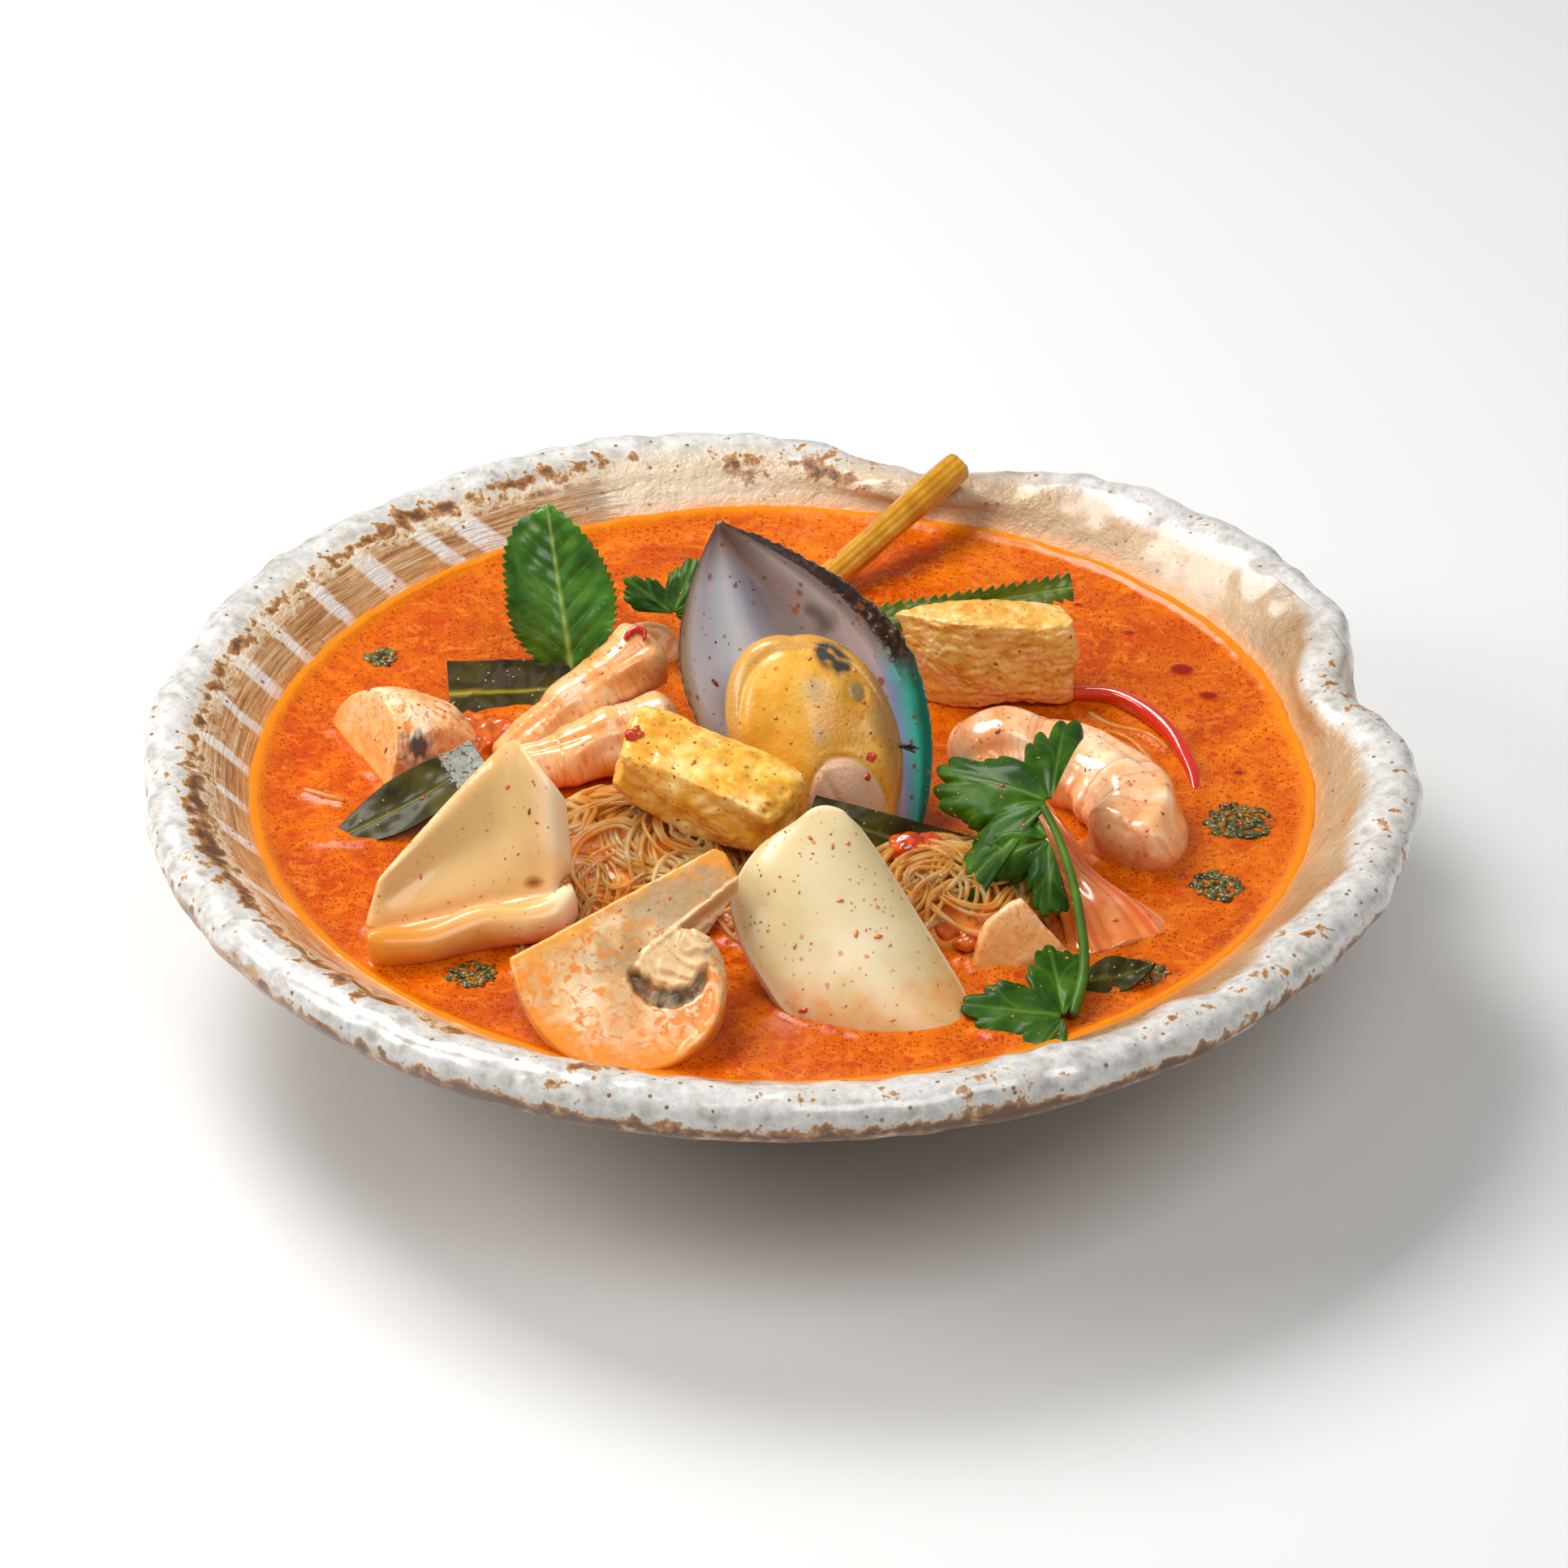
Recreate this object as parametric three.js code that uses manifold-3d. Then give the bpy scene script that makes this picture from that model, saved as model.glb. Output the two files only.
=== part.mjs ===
// A bowl of tom yum soup: a wide, thick, hand-made stoneware bowl filled to just under its rim, and in it an open
// mussel on its shell, prawns, squid, tofu, mushrooms, glass noodles, lemongrass and green leaves.
// Millimetres, +Z up, +X to the viewer's right, +Y away from the viewer. The bowl stands on its foot ring at z = 0.
import * as THREE from "three";
import { mergeVertices } from "three/addons/utils/BufferGeometryUtils.js";
import Module from "manifold-3d";

const wasm = await Module();
wasm.setup();

// Driving dimensions of the bowl and of the soup in it.
const BOWL_RADIUS = 122;
const RIM_HEIGHT = 53;
const SOUP_LEVEL = 42;
const SOUP_RADIUS = 101;
const FOOT_RADIUS = 46;
const AROUND = 60;
const GAP = 0.5;
const POCKET_GAP = 1;
const SLIVER = 0.1;

const { sin, cos, abs, min, max, hypot, PI } = Math;
const rad = THREE.MathUtils.degToRad;
const bell = (x, width) => Math.exp(-(x * x) / (2 * width * width));
const smooth = THREE.MathUtils.smoothstep;

// Moves every vertex of a geometry by a function of its own place.
function shaped(geometry, place) {
  const position = geometry.getAttribute("position");
  const p = new THREE.Vector3();
  for (let i = 0; i < position.count; i++) {
    place(p.fromBufferAttribute(position, i));
    position.setXYZ(i, p.x, p.y, p.z);
  }
  return geometry;
}

// A closed geometry as a solid that can be joined and cut: shared vertices merged, flat slivers dropped.
function solidOf(geometry) {
  const bare = new THREE.BufferGeometry().setAttribute("position", geometry.getAttribute("position"));
  bare.setIndex(geometry.index);
  const merged = mergeVertices(bare, 1e-3);
  const index = merged.index.array;
  const at = merged.getAttribute("position").array;
  const faces = [];
  let volume = 0;
  for (let i = 0; i < index.length; i += 3) {
    const [a, b, c] = index.subarray(i, i + 3);
    if (a === b || b === c || a === c) continue;
    faces.push([a, b, c]);
    const [p, q, r] = [a, b, c].map((k) => new THREE.Vector3().fromArray(at, 3 * k));
    volume += p.dot(q.cross(r));
  }
  const outward = volume < 0 ? faces.map(([a, b, c]) => [a, c, b]) : faces;
  const triVerts = Uint32Array.from(outward.flat());
  return new wasm.Manifold(new wasm.Mesh({ numProp: 3, vertProperties: at, triVerts }));
}

function geometryOf(solid) {
  const { vertProperties, triVerts } = solid.getMesh();
  return new THREE.BufferGeometry()
    .setAttribute("position", new THREE.BufferAttribute(new Float32Array(vertProperties), 3))
    .setIndex(new THREE.BufferAttribute(new Uint32Array(triVerts), 1));
}

// The solid with its skin moved outwards, so that what is cut by it keeps a gap to it.
function grown(solid, by) {
  const geometry = geometryOf(solid);
  geometry.computeVertexNormals();
  const normal = geometry.getAttribute("normal");
  const position = geometry.getAttribute("position");
  for (let i = 0; i < position.count; i++) {
    position.setXYZ(
      i,
      position.getX(i) + by * normal.getX(i),
      position.getY(i) + by * normal.getY(i),
      position.getZ(i) + by * normal.getZ(i),
    );
  }
  geometry.deleteAttribute("normal");
  return solidOf(geometry);
}

// Of a solid that a cut has left in scraps, the largest, without the slivers that the cut left on its faces.
function largest(solid) {
  const pick = (from) => from.decompose().reduce((a, b) => (a.volume() > b.volume() ? a : b));
  return pick(solidOf(geometryOf(pick(solid).simplify(SLIVER))));
}

// A small generator, so that scattered things fall in the same places each time.
function draws(seed) {
  let state = seed;
  return (low, high) => {
    state = (state * 1664525 + 1013904223) % 4294967296;
    return low + ((high - low) * state) / 4294967296;
  };
}

// The bowl is thrown round and then pushed in at two places on its rim, which leaves a soft lobe between them.
const NOTCHES = [
  { at: 9, width: 6.5, depth: 10, drop: 1 },
  { at: 75, width: 9.5, depth: 11, drop: 3.5 },
];
const BOWL_SHIFT = [-0.3, 2.6];

function degreesBetween(a, b) {
  return ((((a - b) % 360) + 540) % 360) - 180;
}

// The hand-made form: how far a point of the round bowl at this angle and height is moved in, and down.
function handMade(p, lumps) {
  const radius = hypot(p.x, p.y);
  const angle = Math.atan2(p.y, p.x);
  const degrees = THREE.MathUtils.radToDeg(angle);
  const rim = smooth(p.z, SOUP_LEVEL - 2, RIM_HEIGHT - 3) * smooth(radius, SOUP_RADIUS, BOWL_RADIUS - 8);
  const wall = smooth(radius, FOOT_RADIUS, SOUP_RADIUS);
  let out = 0;
  let up = 0;
  for (const notch of NOTCHES) {
    const share = bell(degreesBetween(degrees, notch.at), notch.width);
    out -= notch.depth * share * (0.15 * wall + 0.85 * rim);
    up -= notch.drop * share * rim;
  }
  if (lumps) {
    out += rim * (0.5 * sin(23 * angle + 1) + 0.45 * sin(37 * angle + 4) + 0.5 * sin(5 * angle));
    up += rim * (0.45 * sin(19 * angle + 2) + 0.4 * sin(41 * angle) + 0.5 * sin(3 * angle + 1));
  }
  p.x += out * cos(angle) + BOWL_SHIFT[0];
  p.y += out * sin(angle) + BOWL_SHIFT[1];
  p.z += up;
  return p;
}

// Inside of the bowl from the middle of its floor to the crest of its rim, as radius and height.
const INSIDE = [
  [0, 9],
  [50, 12.5],
  [82, 26.5],
  [SOUP_RADIUS, SOUP_LEVEL],
  [110, 49.5],
];

function bowl() {
  const rimInner = [115, 52.6];
  const rimCrest = [118.5, RIM_HEIGHT];
  const rimOuter = [BOWL_RADIUS, 49.5];
  const underRim = [
    [BOWL_RADIUS - 0.6, 45.2],
    [BOWL_RADIUS - 4.5, 42],
  ];
  const outside = [
    [102, 32],
    [82, 18.5],
    [60, 8.5],
    [FOOT_RADIUS + 4, 5],
    [FOOT_RADIUS, 0],
    [FOOT_RADIUS - 7, 0],
    [FOOT_RADIUS - 9, 2.5],
    [0, 2.5],
  ];
  const profile = [...INSIDE, rimInner, rimCrest, rimOuter, ...underRim, ...outside];
  const turned = new THREE.LatheGeometry(profile.map(([r, z]) => new THREE.Vector2(r, z)), AROUND);
  return shaped(turned.rotateX(PI / 2), (p) => handMade(p, true));
}

// Soup and bowl share the angles of their facets, so the gap between them stays even.
function soup() {
  const under = INSIDE.slice(0, 4).map(([r, z]) => new THREE.Vector2(max(r - 0.3, 0), z + 0.4));
  under[3].set(SOUP_RADIUS - 0.5, SOUP_LEVEL);
  const rings = [70, 0].map((r) => new THREE.Vector2(r, SOUP_LEVEL));
  const turned = new THREE.LatheGeometry([...under, ...rings], AROUND);
  let filled = solidOf(shaped(turned.rotateX(PI / 2), (p) => handMade(p, false)));
  for (const [x, y, width, depth] of HERBS) {
    const fleck = shaped(new THREE.CylinderGeometry(0.8, 1, 2, 10, 1).rotateX(PI / 2), (p) => {
      const ragged = 1 + 0.22 * sin(5 * Math.atan2(p.y, p.x) + x);
      p.set(x + p.x * width * ragged, y + p.y * depth * ragged, SOUP_LEVEL + 0.6 * p.z);
    });
    filled = filled.add(solidOf(fleck));
  }
  return filled;
}

// Chopped herbs that float flat on the soup: place, half width and half depth of each.
const HERBS = [
  [-80.8, 45.6, 3, 3],
  [-56.8, -64.9, 4.5, 4],
  [86.4, -14.1, 6.5, 6],
  [80.8, -36.1, 4.8, 4.5],
  [66, -64, 4, 3.4],
];

// Half a mussel shell, opened towards +Z: hinge at the origin, lip end at -Y.
// Each side is straight from the hinge and widest at its own place.
const SHELL = { length: 80, depth: 12.5, wall: 1.7 };
const SHELL_RIGHT = { widest: 24.7, at: 38, spread: 1.75 };
const SHELL_LEFT = { widest: 18, at: 30, spread: 2 };

function shellHalf(share, side) {
  const { widest, at, spread } = side > 0 ? SHELL_RIGHT : SHELL_LEFT;
  const down = share * SHELL.length;
  const above = 1 - max(0, 1 - down / at) ** spread;
  const below = max(0, 1 - (max(0, down - at) / (SHELL.length - at)) ** 2) ** 0.75;
  return max(0.8, widest * above * below);
}

function shellDepth(share, across) {
  const cup = SHELL.depth * sin(PI * min(max(share, 0.01), 0.99) ** 0.72) ** 0.8;
  return cup * (1 - abs(across) ** 2.4);
}

function musselShell(extra = 0) {
  return shaped(new THREE.BoxGeometry(2, 1, 1, 10, 12, 1), (p) => {
    const share = 0.5 - p.y;
    const across = p.x;
    const wall = p.z < 0 ? extra + SHELL.wall * (1 - 0.4 * across ** 4) : -extra;
    const depth = shellDepth(share, across);
    const twist = 2.5 * sin(PI * share) * across;
    p.set(across * shellHalf(share, across), -share * SHELL.length, -depth - wall + twist);
  });
}

// The mussel's soft body, plump, in the lower half of the shell.
function musselMeat() {
  return shaped(new THREE.SphereGeometry(1, 16, 10), (p) => {
    const fold = 1 - 0.1 * bell(p.x - 0.55, 0.16) * (p.z > 0 ? 1 : 0);
    const squared = 1 + (p.x < 0 && p.y > 0 ? 0.32 : 0) * abs(p.x * p.y);
    p.set(p.x * 15.5 * squared + 1.2, p.y * 22 * squared, p.z * 9 * fold);
  });
}

// A piece of fried tofu: a block with soft corners and an uneven skin. Its left side may splay towards the back.
function block(width, depth, height, cells, seed, splay = 0) {
  const half = new THREE.Vector3(width / 2, depth / 2, height / 2);
  return shaped(new THREE.BoxGeometry(width, depth, height, ...cells), (p) => {
    const n = p.clone().divide(half);
    const corner = max(0, n.x ** 4 + n.y ** 4 + n.z ** 4 - 1);
    const lump = 0.035 * sin(3.1 * n.x + seed) * cos(2.6 * n.y + 2 * seed) + 0.025 * sin(5 * n.z + 3 * n.x + seed);
    p.multiplyScalar(1 - 0.055 * corner + lump);
    p.x -= (splay * (1 - n.x) * (1 + n.y)) / 4;
  });
}

// A thick sheet of squid, cut from the tube and curled. Local Y runs up the sheet, +Z is its outer face.
const SQUID_WALL = 5;
// The sheet's cut sides from its foot up: height, left edge and right edge.
const SHEET_SIDES = [
  [-24.5, 7, 16],
  [-21, 1, 19.5],
  [-17, -6, 19.8],
  [-10, -14, 19.2],
  [4, -19.2, 14.3],
  [14, -20, 10.8],
  [21, -15, 7.6],
  [25, -9, 5.5],
  [28, -2, 3.5],
];

function sheetSides(y) {
  const above = min(SHEET_SIDES.length - 1, max(1, SHEET_SIDES.findIndex((side) => side[0] >= y)));
  const [low, high] = [SHEET_SIDES[above - 1], SHEET_SIDES[above]];
  const share = (y - low[0]) / (high[0] - low[0]);
  return [THREE.MathUtils.lerp(low[1], high[1], share), THREE.MathUtils.lerp(low[2], high[2], share)];
}

function squidSheet() {
  return shaped(new THREE.BoxGeometry(2, 2, 1, 9, 10, 1), (p) => {
    const [across, along] = [p.x, p.y];
    const y = THREE.MathUtils.lerp(SHEET_SIDES[0][0], SHEET_SIDES.at(-1)[0], (along + 1) / 2);
    const [left, right] = sheetSides(y);
    const half = (right - left) / 2;
    const edge = 1 - 0.55 * max(abs(across), abs(along)) ** 5;
    const lift = -((across * half) ** 2) / 52 - 2.2 * along * along + 1.2 * along;
    p.set((left + right) / 2 + across * half, y, lift + p.z * SQUID_WALL * edge);
  });
}

// The pointed end of a squid tube, slit open: a low lip in front and a flap behind that rises to the right, where
// its edge curls forwards.
function squidScoop() {
  const length = 39;
  return shaped(new THREE.BoxGeometry(1, 1, 1, 10, 10, 1), (p) => {
    const along = p.x + 0.5;
    const round = p.y + 0.5;
    const flap = 10.5 + 25.6 * min(along, 0.82) - 75 * max(0, along - 0.82);
    const bottom = 5.6 * (1 - 0.35 * along);
    const inside = p.z > 0 ? SQUID_WALL * (1 - 0.3 * round) : 0;
    // The section: a lip that stands in front, a round floor, and the flap that leans back.
    const turn = THREE.MathUtils.lerp(-2.1, 0.35, min(1, round / 0.45));
    const radius = bottom + 1.2 - inside + SQUID_WALL * 0.5;
    const climb = max(0, round - 0.45) / 0.55;
    const curl = smooth(along, 0.66, 1) * smooth(climb, 0, 0.4);
    const y = sin(turn) * radius * 1.15 + climb * flap * 0.52 - 5.5 * curl;
    const z = -cos(turn) * radius * 0.8 + climb * flap * 0.82 + 3.5 * curl;
    const close = 1 - 0.55 * smooth(along, 0.72, 1) * (1 - climb);
    const slant = climb * (5 * (1 - along) + 2 * along);
    p.set(along * length - length / 2 + slant, y * close - inside * 0.25 * climb, z * close);
  });
}

// A tube of changing radius along a curve, with rounded ends: prawns, stems, stalks, strips and noodles.
function strand(points, radius, sides, steps, flat = 1) {
  const curve = new THREE.CatmullRomCurve3(points.map((at) => new THREE.Vector3(...at)));
  const { normals, binormals } = curve.computeFrenetFrames(steps);
  return shaped(new THREE.CylinderGeometry(1, 1, 1, sides, steps), (p) => {
    const step = Math.round((p.y + 0.5) * steps);
    const share = step / steps;
    const r = radius(share);
    const at = curve.getPointAt(share);
    const offset = normals[step].clone().multiplyScalar(p.x * r);
    p.copy(at.add(offset).addScaledVector(binormals[step], p.z * r * flat));
  });
}

// A peeled prawn's outline: thick and blunt at the neck, ringed by its segments, thin at the tail.
function prawnRadius(neck, tail, segments) {
  return (share) => {
    const body = THREE.MathUtils.lerp(neck, tail, share ** 1.3);
    const ends = (1 - 0.62 * smooth(0.12 - share, 0, 0.12)) * (1 - 0.5 * smooth(share, 0.93, 1));
    return body * ends * (1 + 0.05 * sin(2 * PI * segments * share));
  };
}

// A slice of button mushroom: the cap's dome, the stem, and the gills between them as a groove.
const MUSHROOM_SLICE = 5;

function mushroomSlice() {
  const outline = new THREE.Shape();
  outline.moveTo(-21, 7);
  outline.lineTo(15.5, 28);
  outline.lineTo(20, 22);
  outline.lineTo(2.5, 7);
  outline.bezierCurveTo(6, 10.5, 9, 13, 12, 12.5);
  outline.bezierCurveTo(17, 11, 19, 4, 17.4, -3);
  outline.bezierCurveTo(14.5, -12, 7, -15.5, -1, -15);
  outline.bezierCurveTo(-12, -14, -19, -4, -21, 7);
  const slice = new THREE.ExtrudeGeometry(outline, {
    depth: MUSHROOM_SLICE - 1.6,
    bevelThickness: 0.8,
    bevelSize: 0.8,
    bevelOffset: -0.8,
    bevelSegments: 1,
    curveSegments: 7,
  });
  const gills = new THREE.Shape();
  gills.moveTo(0, 5.5);
  gills.quadraticCurveTo(3, -4, 11, -3.5);
  gills.quadraticCurveTo(15, -2, 14.5, 4);
  gills.quadraticCurveTo(11, -0.5, 7, 0.5);
  gills.quadraticCurveTo(3, 2, 0, 5.5);
  const groove = new THREE.ExtrudeGeometry(gills, { depth: 6, bevelEnabled: false, curveSegments: 4 });
  groove.translate(0, 0, MUSHROOM_SLICE - 2.6);
  return geometryOf(solidOf(slice).subtract(solidOf(groove)));
}

// A mushroom cut into wedges: a dome less what two flat cuts take away.
function mushroomWedge(width, depth, height, cuts) {
  const dome = shaped(new THREE.SphereGeometry(1, 16, 10), (p) => {
    const crown = p.z > 0 ? 1 : 0.55;
    p.set(p.x * width * (1 + 0.04 * sin(4 * p.y)), p.y * depth, p.z * height * crown);
  });
  let wedge = solidOf(dome);
  for (const { away, turn, tilt } of cuts) {
    const cut = new THREE.BoxGeometry(90, 90, 90).translate(0, 0, 45 + away);
    cut.rotateX(rad(tilt)).rotateZ(rad(turn));
    wedge = wedge.subtract(solidOf(cut));
  }
  return geometryOf(wedge);
}

// A leaf from its foot at the origin to its tip at +Y, fuller on its left towards the tip where that is asked for.
// Teeth need two rows of cells each.
const LEAF_THICKNESS = 0.8;

function leaf({ length, half, teeth = 0, fuller = 0, rows, columns, bend, curl, wave = 0.4 }, extra = 0) {
  return shaped(new THREE.BoxGeometry(2, 1, 1, columns, rows, 1), (p) => {
    const share = p.y + 0.5;
    const row = Math.round(share * rows);
    const tooth = abs(p.x) > 0.99 && row % 2 ? teeth : 0;
    const full = p.x < 0 ? fuller * smooth(share, 0.5, 0.88) * (1 - smooth(share, 0.93, 1)) : 0;
    const width = half(share) + tooth + full;
    const x = p.x * width;
    const sag = bend * share * share + (curl * x * x) / 10 + wave * sin(7 * share + 2 * p.x);
    p.set(x, share * length, sag + p.z * (LEAF_THICKNESS + 2 * extra));
  });
}

// A coriander leaf: a fan of three lobes with notched edges, its stalk at the origin.
function fanLeaf({ radius, spread, columns, droop, wave, lobes = 4.8 }, extra = 0) {
  return shaped(new THREE.BoxGeometry(2, 1, 1, columns, 3, 1), (p) => {
    const angle = p.x * rad(spread);
    const column = Math.round((p.x + 1) * 0.5 * columns);
    const share = 0.07 + 0.93 * (p.y + 0.5);
    const lobe = 0.74 + 0.22 * cos(lobes * angle) + (column % 2 ? 0.07 : -0.03);
    const reach = radius * share * (1 + (lobe - 1) * share * share);
    const sag = -droop * share * share + wave * share * sin(3 * angle);
    p.set(reach * sin(angle), reach * cos(angle), sag + p.z * (LEAF_THICKNESS + 2 * extra));
  });
}

// Soft lumps run together: crushed tomato and chilli.
function lumps(places) {
  return geometryOf(
    places
      .map(([x, y, z, r]) => solidOf(new THREE.SphereGeometry(r, 7, 5).scale(1.15, 1, 0.85).translate(x, y, z)))
      .reduce((a, b) => a.add(b)),
  );
}

// Glass noodles: low mounds run together as the core, with loops of noodle over the stretches that show.
const MOUNDS = [
  { x: -27, y: -31, halfWidth: 21, halfDepth: 23, height: 11 },
  { x: 4, y: -42, halfWidth: 24, halfDepth: 14, height: 5 },
  { x: 30, y: -42, halfWidth: 20, halfDepth: 17, height: 8 },
];
const NOODLE_RADIUS = 1;

function heapHeight(x, y) {
  const over = MOUNDS.map((mound) => {
    const away = hypot((x - mound.x) / mound.halfWidth, (y - mound.y) / mound.halfDepth);
    return mound.height * Math.sqrt(max(0, 1 - away * away));
  });
  return SOUP_LEVEL + max(...over);
}

function noodles() {
  let heap = MOUNDS.map((mound) => {
    const ball = shaped(new THREE.SphereGeometry(1, 14, 8), (p) => {
      const z = p.z > 0 ? mound.height * p.z : 3 * p.z;
      p.set(mound.x + mound.halfWidth * p.x, mound.y + mound.halfDepth * p.y, SOUP_LEVEL + z);
    });
    return solidOf(ball);
  }).reduce((a, b) => a.add(b));
  const draw = draws(7);
  const counts = [6, 0, 3];
  MOUNDS.forEach((mound, m) => {
    for (let i = 0; i < counts[m]; i++) {
      const x = mound.x + draw(-0.5, 0.5) * mound.halfWidth;
      const y = mound.y + draw(-0.5, 0.5) * mound.halfDepth;
      const [reach, start, sweep] = [draw(5, 9), draw(0, 2 * PI), draw(2, 4)];
      const loop = [0, 1, 2, 3, 4, 5].map((k) => {
        const turn = start + (sweep * k) / 5;
        const at = [x + reach * cos(turn), y + reach * 0.8 * sin(turn)];
        return [...at, heapHeight(...at) + (k % 5 ? 0.9 : -0.8)];
      });
      heap = heap.add(solidOf(strand(loop, () => NOODLE_RADIUS, 4, 8)));
    }
  });
  return geometryOf(heap);
}

// Colour, roughness and metalness of each kind of thing, as it looks in the bowl.
const finish = (colour, roughness = 0.4, metalness = 0) =>
  new THREE.MeshStandardMaterial({ color: colour, roughness, metalness });
const FINISHES = {
  stoneware: finish("#d9d2c6", 0.25),
  broth: finish("#ee6f10", 0.15),
  shell: finish("#8f949c", 0.2),
  mussel: finish("#dca045", 0.35),
  tofu: finish("#ecb54c", 0.45),
  squid: finish("#e5c690", 0.3),
  prawn: finish("#f0a773", 0.3),
  mushroom: finish("#dcae72", 0.5),
  stalk: finish("#cf9a1c", 0.3),
  herb: finish("#2f7a1d", 0.4),
  limeLeaf: finish("#33400f", 0.25),
  noodle: finish("#e0954c", 0.2),
  tomato: finish("#cf3d12", 0.3),
};

const leafWidth = (widest, at) => (share) => max(0.5, widest * sin(PI * share ** at) ** 0.75);
const cutWidth = (foot, tip) => (share) => THREE.MathUtils.lerp(foot, tip, share);
const halfLeaf = (share) => 0.8 + 5.4 * sin(PI * min(0.72, share * 0.8)) ** 0.8;

// Every piece of food, the firm ones first: where two would meet, the later one gives way. Thin ones are made
// with extra thickness when the room they take is worked out.
const PIECES = [
  { name: "mussel_shell", finish: "shell", made: musselShell, at: [-12.5, 17, 90], turn: [52, 4, 22] },
  { name: "mussel_meat", finish: "mussel", made: () => musselMeat(), at: [5.5, -12.5, 57], turn: [55, 4, 14] },
  {
    name: "tofu_front",
    finish: "tofu",
    made: () => block(33, 16, 13.5, [6, 4, 4], 1),
    at: [-14.5, -29, 60.5],
    turn: [14, 12, -22],
  },
  {
    name: "tofu_back",
    finish: "tofu",
    made: () => block(23, 13, 18.5, [5, 4, 4], 4, 18),
    at: [45.5, 32, 51.5],
    turn: [-4, 0, 4],
  },
  { name: "squid_sheet", finish: "squid", made: () => squidSheet(), at: [12.5, -69, 52], turn: [30, 6, 12] },
  { name: "squid_scoop", finish: "squid", made: () => squidScoop(), at: [-58.5, -49, 47.5], turn: [6, -4, 14] },
  { name: "mushroom_slice", finish: "mushroom", made: () => mushroomSlice(), at: [-28, -80, 46.5], turn: [33, 0, 0] },
  {
    name: "prawn_left",
    finish: "prawn",
    made: () =>
      strand(
        [[-25, 20, 60.5], [-33.5, 14.5, 56], [-42, 9, 51.5], [-50, 4, 47], [-41, 1, 47], [-31, 4, 49], [-20, 8, 51]],
        (share) => (share < 0.5 ? prawnRadius(7.4, 3.6, 5)(share * 2) : prawnRadius(7.6, 3.8, 5)((1 - share) * 2)),
        10,
        20,
      ),
  },
  {
    name: "prawn_right",
    finish: "prawn",
    made: () =>
      strand(
        [[34, -1, 44], [43, 2, 45], [54, -1, 45.5], [63, -9, 45], [67, -20, 44.5], [62, -29, 44]],
        prawnRadius(11, 9.5, 5),
        10,
        16,
      ),
  },
  {
    name: "prawn_tail",
    finish: "prawn",
    made: () =>
      strand(
        [[44, -16, 44], [48, -27, 44], [53, -38, 43], [59, -48, 42], [62.5, -56, 40.5]],
        (share) => 7 - 3.6 * sin(PI * min(1, share * 1.1)) ** 2 * share + (share > 0.8 ? 1.5 : 0),
        9,
        10,
        0.7,
      ),
  },
  {
    name: "mushroom_left",
    finish: "mushroom",
    made: () =>
      mushroomWedge(18, 14, 13, [
        { away: 5.5, turn: -62, tilt: 68 },
        { away: 12, turn: 35, tilt: 80 },
      ]),
    at: [-77, 10, 41.5],
  },
  {
    name: "mushroom_right",
    finish: "mushroom",
    made: () =>
      mushroomWedge(12, 12, 14, [
        { away: 4, turn: 0, tilt: 62 },
        { away: 6, turn: 120, tilt: 60 },
      ]),
    at: [46, -60, 40],
  },
  {
    name: "mushroom_back",
    finish: "mushroom",
    made: () => block(13, 10, 9, [3, 3, 3], 7),
    at: [-28, 46, 43.5],
    turn: [0, 0, 12],
  },
  {
    name: "lemongrass",
    finish: "stalk",
    made: () =>
      strand([[-5, 54, 40.5], [11, 72.5, 46], [25, 88.5, 50.8], [36.6, 101.7, 54.8]], (s) => 3.2 + 0.2 * sin(9 * s), 10, 6),
  },
  {
    name: "tomato_left",
    finish: "tomato",
    made: () => lumps([[0, 0, 0, 5], [5, 4, 0, 4], [-2, 6, -0.5, 4.2]]),
    at: [-60, 13, 42],
  },
  {
    name: "tomato_middle",
    finish: "tomato",
    made: () => lumps([[0, 0, 0, 3.6], [3.5, 1.5, 0, 2.8]]),
    at: [23, -36, 50],
  },
  {
    name: "chilli_strip",
    finish: "tomato",
    made: () =>
      strand([[57, 30, 43], [66, 27, 44], [74, 17, 44], [78.5, 4, 43], [79.5, -6, 41]], (s) => 1.9 - 0.9 * s, 6, 10),
  },
  {
    name: "basil_leaf",
    finish: "herb",
    made: (extra) =>
      leaf(
        {
          length: 34,
          half: leafWidth(10.5, 0.85),
          teeth: 0.7,
          fuller: 3,
          rows: 16,
          columns: 4,
          bend: -3,
          curl: 0.3,
          wave: 0.6,
        },
        extra,
      ),
    at: [-42, 33, 45.5],
    turn: [66, 4, 8],
  },
  {
    name: "culantro_strip",
    finish: "herb",
    made: (extra) =>
      leaf({ length: 40, half: cutWidth(2.6, 2.2), teeth: 0.9, rows: 18, columns: 2, bend: -4, curl: 0, wave: 0.3 }, extra),
    at: [19, 33, 58.5],
    turn: [64, 10, -82],
  },
  {
    name: "lime_leaf_back",
    finish: "limeLeaf",
    made: (extra) =>
      leaf({ length: 24, half: cutWidth(6.8, 5.5), rows: 6, columns: 4, bend: 1.5, curl: 0.25, wave: 0.3 }, extra),
    at: [-66, 27, 45],
    turn: [34, 8, -84],
  },
  {
    name: "lime_leaf_left",
    finish: "limeLeaf",
    made: (extra) =>
      leaf({ length: 34, half: halfLeaf, rows: 8, columns: 4, bend: 4, curl: 0.2, wave: 0.3 }, extra),
    at: [-87, -21.5, 41.2],
    turn: [18, -6, -62],
  },
  {
    name: "lime_leaf_middle",
    finish: "limeLeaf",
    made: (extra) =>
      leaf({ length: 33, half: cutWidth(3, 5), rows: 7, columns: 2, bend: -3, curl: 0.2, wave: 0.3 }, extra),
    at: [5, -30, 55],
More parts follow.
